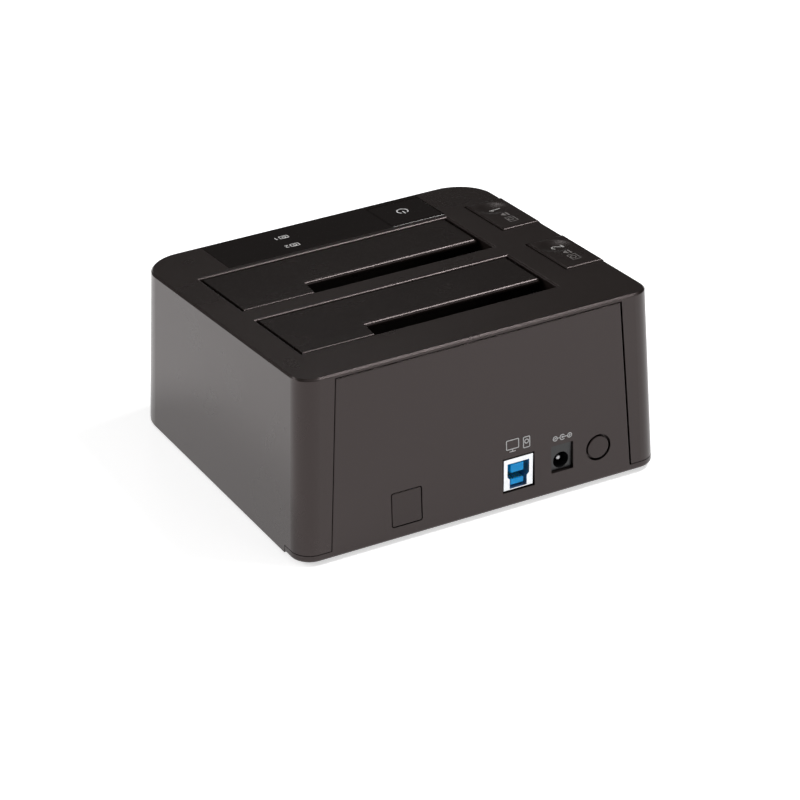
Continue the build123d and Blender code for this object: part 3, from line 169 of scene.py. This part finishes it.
def printMark(name, shapes, place, origin, turn, material, body, rise=0.02, thick=0.03):
    # printed shapes, drawn flat, turned by a quarter turn at a time and laid on a surface of the case
    points, faces = [], []
    for shapePoints, shapeFaces in shapes:
        faces += [tuple(int(i) + sum(map(len, points)) for i in face) for face in shapeFaces]
        points.append(shapePoints)
    flat = np.concatenate(points)
    angle = math.radians(turn)
    x = origin[0] + flat[:, 0] * math.cos(angle) - flat[:, 1] * math.sin(angle)
    y = origin[1] + flat[:, 0] * math.sin(angle) + flat[:, 1] * math.cos(angle)
    piece = makePiece(name, place(x, y, rise), faces, material, body, smooth=False)
    solid = piece.modifiers.new("ink", "SOLIDIFY")
    solid.thickness = thick * mm
    solid.offset = 1
    return piece


def coil(radius, wire, turns, length, closedEnds=1.2, sides=10, perTurn=28):
    # a helix along z whose pitch falls to one wire at both ends, as a tube with flat caps
    count = int(turns * perTurn) + 1
    t = np.linspace(0, turns, count)
    rate = np.clip(np.minimum(t, turns - t) / closedEnds, 0, 1)
    rate = rate * rate * (3 - 2 * rate)
    climb = wire + rate * (length - turns * wire) / ((rate[1:] + rate[:-1]) / 2 * np.diff(t)).sum()
    z = np.concatenate([[0], np.cumsum((climb[1:] + climb[:-1]) / 2 * np.diff(t))])
    angle = 2 * math.pi * t
    out = np.stack([np.cos(angle), np.sin(angle), 0 * t], -1)
    girth = 2 * math.pi * radius
    along = np.stack([-girth * np.sin(angle), girth * np.cos(angle), climb], -1)
    return tube(out * radius + np.stack([0 * t, 0 * t, z], -1), out, along, wire / 2, sides)


def tube(centre, out, along, radius, sides=10):
    # circles of a radius about a line of centres, in the plane of out and the normal beside it
    beside = np.cross(along, out)
    beside /= np.linalg.norm(beside, axis=1)[:, None]
    angle = np.linspace(0, 2 * math.pi, sides, endpoint=False)[None, :, None]
    ring = out[:, None] * np.cos(angle) + beside[:, None] * np.sin(angle)
    points = (centre[:, None] + radius * ring).reshape(-1, 3)
    faces = [tuple(f) for f in gridFaces(len(centre), sides, wrapColumns=True)[:, ::-1]]
    last = (len(centre) - 1) * sides
    return points, faces + [tuple(range(sides)), tuple(range(last + sides - 1, last - 1, -1))]


# Finishes
def newGroup(name, inputs, outputs):
    group = bpy.data.node_groups.new(name, "ShaderNodeTree")
    for label, kind, value in inputs:
        socket = group.interface.new_socket(name=label, in_out="INPUT", socket_type=kind)
        socket.default_value = value
    for label, kind in outputs:
        group.interface.new_socket(name=label, in_out="OUTPUT", socket_type=kind)
    return group, group.nodes.new("NodeGroupInput"), group.nodes.new("NodeGroupOutput")


def addNode(tree, kind, links=(), **values):
    # a node with its inputs filled: a value is set, and a socket is linked
    node = tree.nodes.new(kind)
    for key, value in values.items():
        setattr(node, key, value)
    for key, value in links:
        if isinstance(value, bpy.types.NodeSocket):
            tree.links.new(value, node.inputs[key])
        else:
            node.inputs[key].default_value = value
    return node


def makeGrainGroup():
    # spark-eroded mould texture: fine pits in the surface, and slow changes of tone and gloss
    group, start, end = newGroup("mouldedGrain", [
        ("Colour", "NodeSocketColor", (0.02, 0.02, 0.02, 1)),
        ("Tone change", "NodeSocketFloat", 0.1),
        ("Gloss", "NodeSocketFloat", 0.45),
        ("Gloss change", "NodeSocketFloat", 0.05),
        ("Grain size", "NodeSocketFloat", 4200.0),
        ("Grain depth", "NodeSocketFloat", 0.1),
    ], [("Colour", "NodeSocketColor"), ("Roughness", "NodeSocketFloat"), ("Normal", "NodeSocketVector")])
    where = addNode(group, "ShaderNodeTexCoord")
    slow = addNode(group, "ShaderNodeTexNoise", [
        ("Vector", where.outputs["Object"]), ("Scale", 38.0), ("Detail", 3.0)])
    fine = addNode(group, "ShaderNodeTexNoise", [
        ("Vector", where.outputs["Object"]), ("Scale", start.outputs["Grain size"]), ("Detail", 2.0)])
    shift = addNode(group, "ShaderNodeMath", [(0, slow.outputs["Fac"]), (1, 0.5)], operation="SUBTRACT")
    tone = addNode(group, "ShaderNodeMath", [
        (0, shift.outputs[0]), (1, start.outputs["Tone change"]), (2, 1.0)], operation="MULTIPLY_ADD")
    colour = addNode(group, "ShaderNodeVectorMath", [
        (0, start.outputs["Colour"]), (1, tone.outputs[0])], operation="MULTIPLY")
    gloss = addNode(group, "ShaderNodeMath", [
        (0, shift.outputs[0]), (1, start.outputs["Gloss change"]), (2, start.outputs["Gloss"])],
        operation="MULTIPLY_ADD")
    pits = addNode(group, "ShaderNodeBump", [
        ("Strength", start.outputs["Grain depth"]), ("Distance", 0.0001), ("Height", fine.outputs["Fac"])])
    group.links.new(colour.outputs[0], end.inputs["Colour"])
    group.links.new(gloss.outputs[0], end.inputs["Roughness"])
    group.links.new(pits.outputs["Normal"], end.inputs["Normal"])
    return group


def makeBrushGroup():
    # drawn or brushed metal: thin streaks along one way, in gloss and in height
    group, start, end = newGroup("drawnMetal", [
        ("Colour", "NodeSocketColor", (0.6, 0.6, 0.6, 1)),
        ("Gloss", "NodeSocketFloat", 0.3),
        ("Streaks", "NodeSocketVector", (400.0, 400.0, 8000.0)),
        ("Streak depth", "NodeSocketFloat", 0.1),
    ], [("Colour", "NodeSocketColor"), ("Roughness", "NodeSocketFloat"), ("Normal", "NodeSocketVector")])
    where = addNode(group, "ShaderNodeTexCoord")
    stretched = addNode(group, "ShaderNodeVectorMath", [
        (0, where.outputs["Object"]), (1, start.outputs["Streaks"])], operation="MULTIPLY")
    streak = addNode(group, "ShaderNodeTexNoise", [
        ("Vector", stretched.outputs[0]), ("Scale", 1.0), ("Detail", 2.0)])
    shade = addNode(group, "ShaderNodeMath", [
        (0, streak.outputs["Fac"]), (1, 0.3), (2, 0.85)], operation="MULTIPLY_ADD")
    colour = addNode(group, "ShaderNodeVectorMath", [
        (0, start.outputs["Colour"]), (1, shade.outputs[0])], operation="MULTIPLY")
    gloss = addNode(group, "ShaderNodeMath", [
        (0, streak.outputs["Fac"]), (1, 0.12), (2, start.outputs["Gloss"])], operation="MULTIPLY_ADD")
    lines = addNode(group, "ShaderNodeBump", [
        ("Strength", start.outputs["Streak depth"]), ("Distance", 0.00005),
        ("Height", streak.outputs["Fac"])])
    group.links.new(colour.outputs[0], end.inputs["Colour"])
    group.links.new(gloss.outputs[0], end.inputs["Roughness"])
    group.links.new(lines.outputs["Normal"], end.inputs["Normal"])
    return group


grain = makeGrainGroup()
brush = makeBrushGroup()


def makeFinish(name, group, values, **shaderValues):
    # a material with its group's values, and with the values that are the same all over on its shader
    material = bpy.data.materials.new(name)
    material.use_nodes = True
    tree = material.node_tree
    shader = tree.nodes["Principled BSDF"]
    for key, value in shaderValues.items():
        shader.inputs[key.replace("_", " ")].default_value = value
    surface = tree.nodes.new("ShaderNodeGroup")
    surface.node_tree = group
    for key, value in values.items():
        surface.inputs[key].default_value = (*value, 1) if key == "Colour" else value
    tree.links.new(surface.outputs["Colour"], shader.inputs["Base Color"])
    tree.links.new(surface.outputs["Roughness"], shader.inputs["Roughness"])
    tree.links.new(surface.outputs["Normal"], shader.inputs["Normal"])
    return material


plasticLooks = {
    "shellPlastic": {"Colour": (0.0104, 0.0076, 0.0066), "Gloss": 0.28, "Grain depth": 0.12},
    "trayPlastic": {"Colour": (0.0118, 0.0088, 0.0080), "Gloss": 0.34, "Grain depth": 0.14},
    "plugPlastic": {"Colour": (0.0098, 0.0070, 0.0062), "Gloss": 0.34, "Grain depth": 0.14},
    "flapPlastic": {"Colour": (0.0074, 0.0054, 0.0046), "Gloss": 0.27, "Grain depth": 0.12},
    "buttonPlastic": {"Colour": (0.0110, 0.0082, 0.0072), "Gloss": 0.28, "Grain depth": 0.12},
    "cagePlastic": {"Colour": (0.0420, 0.0340, 0.0290), "Gloss": 0.50, "Grain depth": 0.25},
    "leverPlastic": {"Colour": (0.16, 0.16, 0.17), "Gloss": 0.45, "Grain depth": 0.15},
    "stripGloss": {"Colour": (0.0070, 0.0052, 0.0046), "Gloss": 0.14, "Gloss change": 0.02,
                   "Grain depth": 0.0},
    "footRubber": {"Colour": (0.020, 0.020, 0.020), "Gloss": 0.85, "Grain size": 2200.0, "Grain depth": 0.5},
    "socketBlack": {"Colour": (0.014, 0.014, 0.015), "Gloss": 0.38, "Grain depth": 0.12},
    "jackBlack": {"Colour": (0.012, 0.012, 0.013), "Gloss": 0.30, "Grain depth": 0.08},
    "chipBlack": {"Colour": (0.018, 0.018, 0.018), "Gloss": 0.55, "Grain depth": 0.3},
    "coilGrey": {"Colour": (0.10, 0.10, 0.10), "Gloss": 0.60, "Grain depth": 0.3},
    "boardGreen": {"Colour": (0.012, 0.11, 0.045), "Gloss": 0.30, "Tone change": 0.5, "Grain size": 900.0},
    "switchPlunger": {"Colour": (0.62, 0.60, 0.55), "Gloss": 0.40},
    "ledLens": {"Colour": (0.70, 0.76, 0.84), "Gloss": 0.18, "Grain depth": 0.05},
    "usbBlue": {"Colour": (0.004, 0.43, 1.0), "Gloss": 0.32, "Tone change": 0.25, "Grain depth": 0.05},
    "leadGrey": {"Colour": (0.45, 0.45, 0.47), "Gloss": 0.50},
    "socketWhite": {"Colour": (0.70, 0.68, 0.62), "Gloss": 0.45},
    "markInk": {"Colour": (0.62, 0.62, 0.62), "Gloss": 0.50, "Tone change": 0.1, "Grain depth": 0.05},
    "markDim": {"Colour": (0.38, 0.37, 0.36), "Gloss": 0.45, "Tone change": 0.1, "Grain depth": 0.05},
    "markGrey": {"Colour": (0.15, 0.14, 0.135), "Gloss": 0.45, "Tone change": 0.1, "Grain depth": 0.05},
    "markFaint": {"Colour": (0.62, 0.61, 0.60), "Gloss": 0.45, "Tone change": 0.1, "Grain depth": 0.05},
}
metalLooks = {
    "screwSteel": {"Colour": (0.50, 0.50, 0.52), "Gloss": 0.30},
    "pinSteel": {"Colour": (0.62, 0.62, 0.64), "Gloss": 0.22, "Streaks": (200.0, 9000.0, 9000.0)},
    "springSteel": {"Colour": (0.55, 0.55, 0.57), "Gloss": 0.24},
    "sinkAluminium": {"Colour": (0.60, 0.61, 0.62), "Gloss": 0.38, "Streaks": (6000.0, 300.0, 6000.0)},
    "canAluminium": {"Colour": (0.66, 0.66, 0.68), "Gloss": 0.28},
    "contactGold": {"Colour": (0.78, 0.56, 0.22), "Gloss": 0.22},
    "usbMetal": {"Colour": (0.74, 0.75, 0.77), "Gloss": 0.30, "Streaks": (900.0, 900.0, 900.0)},
    "jackPin": {"Colour": (0.36, 0.36, 0.37), "Gloss": 0.24},
}
plainTint, warmTint = (1, 1, 1, 1), (1.0, 0.84, 0.83, 1)
warmOnes = ("shellPlastic", "trayPlastic", "plugPlastic", "flapPlastic", "buttonPlastic")
plainShine = 0.5
shines = {"flapPlastic": 0.37, "buttonPlastic": 0.40, "plugPlastic": 0.46, "usbBlue": 0.25}
finishes = {}
for name, look in plasticLooks.items():
    tint = warmTint if name in warmOnes else plainTint
    finishes[name] = makeFinish(name, grain, look, Specular_Tint=tint,
                                Specular_IOR_Level=shines.get(name, plainShine))
for name, look in metalLooks.items():
    finishes[name] = makeFinish(name, brush, look, Metallic=1.0)
nodeFinish = {
    "top_shell": "shellPlastic", "base_tray": "trayPlastic", "feet": "footRubber",
    "square_blank": "plugPlastic", "round_blank": "plugPlastic",
    "lens_strip": "stripGloss", "power_key": "stripGloss",
    "front_board": "boardGreen", "front_board_screws": "screwSteel",
    "tact_switch": "socketBlack", "switch_plunger": "switchPlunger", "status_leds": "ledLens",
    "flap": "flapPlastic", "flap_pin": "pinSteel", "flap_spring": "springSteel",
    "eject_button": "buttonPlastic", "button_spring": "springSteel",
    "ejector_lever": "leverPlastic", "lever_pin": "pinSteel",
    "drive_cage": "cagePlastic", "case_screws": "screwSteel", "cage_screws": "screwSteel",
    "main_board": "boardGreen", "board_screws": "screwSteel", "bridge_chip": "chipBlack",
    "heat_sink": "sinkAluminium", "capacitors": "canAluminium", "coils": "coilGrey",
    "sata_socket": "socketBlack", "sata_contacts": "contactGold",
    "usb_shell": "usbMetal", "usb_tongue": "usbBlue", "usb_contacts": "contactGold",
    "dc_jack": "jackBlack", "dc_pin": "jackPin",
    "board_lead": "leadGrey", "lead_sockets": "socketWhite",
}
for name, node in nodes.items():
    # a part of a pair, such as flap_1, has the finish that stands under its name without the number
    finish = nodeFinish.get(name) or nodeFinish[name.rsplit("_", 1)[0]]
    node.data.materials.clear()
    node.data.materials.append(finishes[finish])
print("finishes:", len(finishes), "on", len(nodes), "parts")


# Printed marks: plain numerals, a power symbol and small pictograms, drawn upright about the origin
def numeral(which, height, width):
    # a figure 1 or 2 as one line
    h, w = height / 2, height * 0.28
    if which == 1:
        return ribbon([(-w * 0.7, h * 0.55), (w * 0.25, h), (w * 0.25, -h)], width)
    bow = arc(0, h - w, w, 160, -35, 14)
    return ribbon(np.concatenate([bow, [(-w, -h), (w * 1.05, -h)]]), width)


def drivePictogram(size, line):
    # a drive seen from above: a rounded plate with its disc
    width, height = size
    disc = arc(0, height * 0.08, min(width, height) * 0.3, 0, 360, 28)
    return [ribbon(boxLine(0, 0, width, height, 0.35), line), ribbon(disc, line)]


def powerSymbol(radius, line):
    return [ribbon(arc(0, 0, radius, 125, 415, 40), line),
            ribbon([(0, radius * 1.25), (0, radius * 0.1)], line)]


def ejectSymbol(size, line):
    half = size / 2
    return [filled([(-half, -half * 0.15), (half, -half * 0.15), (0, half)]),
            ribbon([(-half, -half * 0.8), (half, -half * 0.8)], line * 1.6)]


def screenPictogram(look, line):
    # a screen on its stand
    width, height = look["screenSize"]
    low = look["screenRise"] - height / 2
    foot = low - look["standTall"] - look["footDrop"]
    return [ribbon(boxLine(0, look["screenRise"], width, height, 0.3), line),
            ribbon([(0, low), (0, low - look["standTall"])], line),
            ribbon([(-look["footHalf"], foot), (look["footHalf"], foot)], line)]


def polaritySign(look, line):
    # minus and plus in rings, each joined to the open ring or the dot in the middle
    reach, ring, bar, middle = (look[key] for key in ("signReach", "signRing", "signBar", "middleRing"))
    return [ribbon(arc(-reach, 0, ring, 0, 360, 28), line),
            ribbon([(-reach - bar, 0), (bar - reach, 0)], line),
            ribbon([(ring - reach, 0), (-middle, 0)], line),
            ribbon(arc(0, 0, middle, 40, 320, 28), line),
            filled(arc(0, 0, look["middleDot"], 0, 345, 16)),
            ribbon([(0, 0), (reach - ring, 0)], line),
            ribbon(arc(reach, 0, ring, 0, 360, 28), line),
            ribbon([(reach - bar, 0), (reach + bar, 0)], line),
            ribbon([(reach, -bar), (reach, bar)], line)]


def moved(shapes, dx, dy=0):
    return [(points + np.array([dx, dy]), faces) for points, faces in shapes]


def mirrored(shapes):
    # for the rear, whose reader stands behind the case, where x runs towards the left
    return [(points * np.array([-1, 1]), [tuple(reversed(face)) for face in faces])
            for points, faces in shapes]


buttonMarks = {
    "x": -63.3, "ys": (-33.2, 11.4),
    "tall": 4.2, "line": 0.46,
    "driveSize": (4.6, 3.4), "driveLine": 0.3, "driveShift": -12.0,
    "ejectSize": 3.2, "ejectLine": 0.4, "ejectShift": -6.8,
}
stripMarks = {
    "x": 16.0, "ys": (-55.4, -46.4), "line": 0.32,
    "tall": 1.9, "shift": 2.4,
    "driveSize": (3.4, 2.3), "driveShift": -0.8,
}
powerMark = {"place": (-33.8, -52.3), "radius": 2.1, "line": 0.42}
rearMarks = {
    "line": 0.34,
    "powerPlace": (-32.8, 23.6),    # x and z
    "signReach": 3.0, "signRing": 0.85, "signBar": 0.45, "middleRing": 1.0, "middleDot": 0.38,
    "dataPlace": (-14.7, 25.6),
    "screenSize": (5.0, 3.6), "screenRise": 0.7, "screenShift": -2.6,
    "standTall": 0.9, "footDrop": 0.1, "footHalf": 1.3,
    "driveSize": (2.6, 4.2), "driveShift": (3.2, 0.1),
}


def markButton(bay):
    n = bay + 1
    look = buttonMarks
    place = lambda x, y, rise: onButton(x, y, rise, bay)
    origin = (look["x"], look["ys"][bay])
    figure = [numeral(n, look["tall"], look["line"])]
    printMark(f"button_numeral_{n}", figure, place, origin, -90, finishes["markDim"], f"eject_button_{n}")
    shapes = moved(drivePictogram(look["driveSize"], look["driveLine"]), look["driveShift"])
    shapes += moved(ejectSymbol(look["ejectSize"], look["ejectLine"]), look["ejectShift"])
    printMark(f"button_marks_{n}", shapes, place, origin, -90, finishes["markGrey"], f"eject_button_{n}")


def markStrip(bay):
    n = bay + 1
    look = stripMarks
    shapes = moved([numeral(n, look["tall"], look["line"])], look["shift"])
    shapes += moved(drivePictogram(look["driveSize"], look["line"]), look["driveShift"])
    origin = (look["x"], look["ys"][bay])
    printMark(f"strip_mark_{n}", shapes, onDeck, origin, 0, finishes["markFaint"], "case")


def markRear(look):
    line = look["line"]
    printMark("power_polarity", mirrored(polaritySign(look, line)), onRear, look["powerPlace"], 0,
              finishes["markInk"], "case")
    shapes = moved(screenPictogram(look, line), look["screenShift"])
    shapes += moved(drivePictogram(look["driveSize"], line), *look["driveShift"])
    printMark("data_pictogram", mirrored(shapes), onRear, look["dataPlace"], 0, finishes["markInk"], "case")


for bay in (0, 1):
    markButton(bay)
    markStrip(bay)
printMark("power_mark", powerSymbol(powerMark["radius"], powerMark["line"]), onDeck, powerMark["place"], 0,
          finishes["markInk"], "power_key")
markRear(rearMarks)
print("marks: buttons, strip, power key and rear panel")


# Springs that are wound as real ones are, in place of the plain ones
def makeSpring(bay):
    n = bay + 1
    x, y = button["springX"], case["bays"][bay] + button["shift"]
    deck = deckZero + y * math.tan(slope)
    low = deck - button["shelfDrop"] + button["springWire"] / 2 + button["springFoot"]
    high = deck - button["capWall"] - button["springWire"] / 2 - button["springRoom"]
    tall = high - low
    points, faces = coil(button["springRadius"], button["springWire"], button["springTurns"], tall)
    spring = makePiece(f"button_coil_{n}", points + np.array([x, y, low]), faces, finishes["springSteel"],
                       f"eject_button_{n}")
    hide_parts(f"button_spring_{n}")
    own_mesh(spring)


for bay in (0, 1):
    makeSpring(bay)
print("springs: wound and closed at their ends")


# Turned screws under the case, with a cross recess and a thread
screw = {
    "pitch": 0.8,
    "threadDeep": 0.25,
    "slotHalf": 0.32,       # half the width of a slot of the cross
    "slotReach": 0.52,      # of the head's radius
    "slotDeep": 0.9,
    "slotFade": 0.15,
    "flat": 0.62,           # of the head's radius, inside its crown
    "crown": ((0.8, 0.03), (0.93, 0.12), (1.0, 0.35)),   # shares of the radius, and falls
    "headBand": 0.2,        # a point this near the largest radius is on the head
    "neck": 0.5,            # and one this far past the head is on the shank
}


def revolved(profile, turns=48):
    # closed body of a profile of (radius, height) turned about z: rings, and a fan at each end
    angle = np.linspace(0, 2 * np.pi, turns, endpoint=False)
    radius, height = np.array(profile, float).T[:, :, None]
    points = np.stack([radius * np.cos(angle), radius * np.sin(angle), height + 0 * angle], -1)
    points = points.reshape(-1, 3)
    count = len(points)
    ends = [[0, 0, profile[0][1]], [0, 0, profile[-1][1]]]
    faces = [tuple(face) for face in gridFaces(len(profile), turns, wrapColumns=True)]
    for k in range(turns):
        k2 = (k + 1) % turns
        faces += [(k2, k, count), (count - turns + k, count - turns + k2, count + 1)]
    return np.concatenate([points, ends]), faces


def screwBody(head, shank, headTall, length):
    # the head's face sinks by deep * s(|x|) * s(|y|) in a cross of two slots, s fading at their rims,
    # and the thread is a row of ridges: r = shank - depth / 2 * (1 + cos(2 pi z / pitch))
    share, crownFall = np.array(screw["crown"]).T
    radii = np.concatenate([[0.02], np.linspace(0.12, head * screw["flat"], 16), head * share])
    fall = np.concatenate([np.zeros(17), crownFall])
    rise = np.linspace(0, length, int(length / screw["pitch"] * 8))
    thread = shank - screw["threadDeep"] / 2 * (1 + np.cos(2 * np.pi * rise / screw["pitch"]))
    profile = list(zip(radii, fall)) + [(head, headTall), (shank - screw["threadDeep"], headTall)]
    profile += list(zip(thread, headTall + rise)) + [(0.02, headTall + length)]
    points, faces = revolved(profile)
    x, y = np.abs(points[:, 0]), np.abs(points[:, 1])
    half, reach = screw["slotHalf"], head * screw["slotReach"]
    fade = lambda past: np.clip(0.5 - past / screw["slotFade"], 0, 1)
    slots = np.maximum(fade(x - half) * fade(y - reach), fade(y - half) * fade(x - reach))
    points[:, 2] += screw["slotDeep"] * slots * (points[:, 2] < headTall * 0.5)
    return points, faces


def groupsOf(node, reach):
    # vertices of a part's separate solids, gathered by how near they are in plan
    points = np.array([node.matrix_world @ vertex.co for vertex in node.data.vertices]) / mm
    groups = []
    for point in points:
        near = [group for group in groups if np.hypot(*(group[0][:2] - point[:2])) < reach]
        if near:
            near[0].append(point)
        else:
            groups.append([point])
    return [np.array(group) for group in groups]


def makeScrews(name, body, reach):
    # each turned screw takes the head, shank and length of the plain one that it stands for
    allPoints, allFaces, count = [], [], 0
    for group in groupsOf(nodes[name], reach):
        low, high = group.min(0), group.max(0)
        middle = (low + high) / 2
        z = group[:, 2]
        radius = np.hypot(group[:, 0] - middle[0], group[:, 1] - middle[1])
        headRows = z[radius > radius.max() - screw["headBand"]]
        headUp = headRows.mean() > middle[2]
        onShank = z < headRows.min() - screw["neck"] if headUp else z > headRows.max() + screw["neck"]
        headTall = headRows.max() - headRows.min()
        tall = high[2] - low[2]
        points, faces = screwBody(radius.max(), radius[onShank].max(), headTall, tall - headTall)
        if headUp:
            points = points * np.array([1, -1, -1]) + np.array([0, 0, tall])
        allPoints.append(points + np.array([middle[0], middle[1], low[2]]))
        allFaces += [tuple(i + count for i in face) for face in faces]
        count += len(points)
    piece = makePiece(f"{name}_turned", np.concatenate(allPoints), allFaces, finishes["screwSteel"],
                      body, smooth=False)
    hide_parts(name)
    return len(allPoints)


print("screws:", makeScrews("case_screws", "case", 8.0), "turned")


# Stage: pale floor, soft lamps and the camera at the photo's angle, in metres and watts
stageLook = {
    "floorSize": 6.0, "floorColour": (0.88, 0.88, 0.88, 1), "floorSeen": 0.60, "floorMirrored": 0.67,
    "worldLight": 0.042,
    "lamps": {
        "overhead": {"at": (0.25, 0.55, 1.5), "to": (0.0, 0.0, 0.0), "size": (1.6, 1.6), "power": 4.6},
        "edgeLight": {"at": (-0.72, 0.2, 1.4), "to": (0.0, 0.0, 0.03), "size": (0.7, 0.16), "power": 16.8},
        "sideFill": {"at": (1.4, -0.8, 0.7), "to": (0.1, -0.1, 0.0), "size": (1.0, 0.7), "power": 18.0},
        "rearGlow": {"at": (-0.72, 1.36, 0.71), "to": (0.0, 0.0, 0.06), "size": (1.0, 0.5), "power": 2.4},
        "dishLight": {"at": (-0.60, -1.38, 1.15), "to": (0.0, 0.0, 0.06), "size": (0.3, 0.2), "power": 0.95},
    },
}


def makeFloor():
    # besides the lamps' light on it, the floor glows by floorSeen as seen and by floorMirrored in gloss
    half = stageLook["floorSize"] / 2
    corners = [(-half, -half, 0), (half, -half, 0), (half, half, 0), (-half, half, 0)]
    mesh = bpy.data.meshes.new("floor")
    mesh.from_pydata(corners, [], [(0, 1, 2, 3)])
    floor = bpy.data.objects.new("floor", mesh)
    bpy.context.scene.collection.objects.link(floor)
    material = bpy.data.materials.new("floorPale")
    material.use_nodes = True
    tree = material.node_tree
    shader = tree.nodes["Principled BSDF"]
    shader.inputs["Base Color"].default_value = stageLook["floorColour"]
    shader.inputs["Roughness"].default_value = 0.9
    shader.inputs["Specular IOR Level"].default_value = 0.1
    rays = tree.nodes.new("ShaderNodeLightPath")
    seen = addNode(tree, "ShaderNodeMath", [
        (0, rays.outputs["Is Camera Ray"]), (1, stageLook["floorSeen"])], operation="MULTIPLY")
    glow = addNode(tree, "ShaderNodeMath", [
        (0, rays.outputs["Is Glossy Ray"]), (1, stageLook["floorMirrored"]), (2, seen.outputs[0])],
        operation="MULTIPLY_ADD")
    shader.inputs["Emission Color"].default_value = (1, 1, 1, 1)
    tree.links.new(glow.outputs[0], shader.inputs["Emission Strength"])
    mesh.materials.append(material)


def makeLamps():
    for name, look in stageLook["lamps"].items():
        light = bpy.data.lights.new(name, "AREA")
        light.shape = "RECTANGLE"
        light.size, light.size_y = look["size"]
        light.energy = look["power"]
        lamp = bpy.data.objects.new(name, light)
        lamp.location = look["at"]
        aim = Vector(look["to"]) - Vector(look["at"])
        lamp.rotation_euler = aim.to_track_quat("-Z", "Y").to_euler()
        bpy.context.scene.collection.objects.link(lamp)
    world = bpy.data.worlds.new("studio")
    world.use_nodes = True
    world.node_tree.nodes["Background"].inputs["Color"].default_value = (1, 1, 1, 1)
    world.node_tree.nodes["Background"].inputs["Strength"].default_value = stageLook["worldLight"]
    bpy.context.scene.world = world


cameraLook = {
    "azimuth": 151.051, "elevation": 28.861, "roll": -0.389,   # degrees
    "distance": 1.315737, "focal": 3557.137,                   # metres, and pixels of an 800 pixel frame
    "target": (-0.0033, 0.0, 0.014889),
}


def makeCamera():
    a, e, r = (math.radians(cameraLook[key]) for key in ("azimuth", "elevation", "roll"))
    back = np.array([math.sin(a) * math.cos(e), -math.cos(a) * math.cos(e), math.sin(e)])
    right = np.cross(-back, [0, 0, 1])
    right /= np.linalg.norm(right)
    up = np.cross(right, -back)
    right, up = math.cos(r) * right + math.sin(r) * up, -math.sin(r) * right + math.cos(r) * up
    data = bpy.data.cameras.new("camera")
    data.sensor_width = 36.0
    data.lens = cameraLook["focal"] * data.sensor_width / 800
    data.clip_start, data.clip_end = 0.01, 50.0
    camera = bpy.data.objects.new("camera", data)
    place = np.array(cameraLook["target"]) + back * cameraLook["distance"]
    turn = np.eye(4)
    turn[:3, 0], turn[:3, 1], turn[:3, 2], turn[:3, 3] = right, up, back, place
    camera.matrix_world = Matrix(turn.tolist())
    bpy.context.scene.collection.objects.link(camera)
    bpy.context.scene.camera = camera


makeFloor()
makeLamps()
makeCamera()
bpy.context.scene.view_settings.view_transform = "Standard"
print("stage: floor, lamps and camera")

bpy.context.view_layer.update()
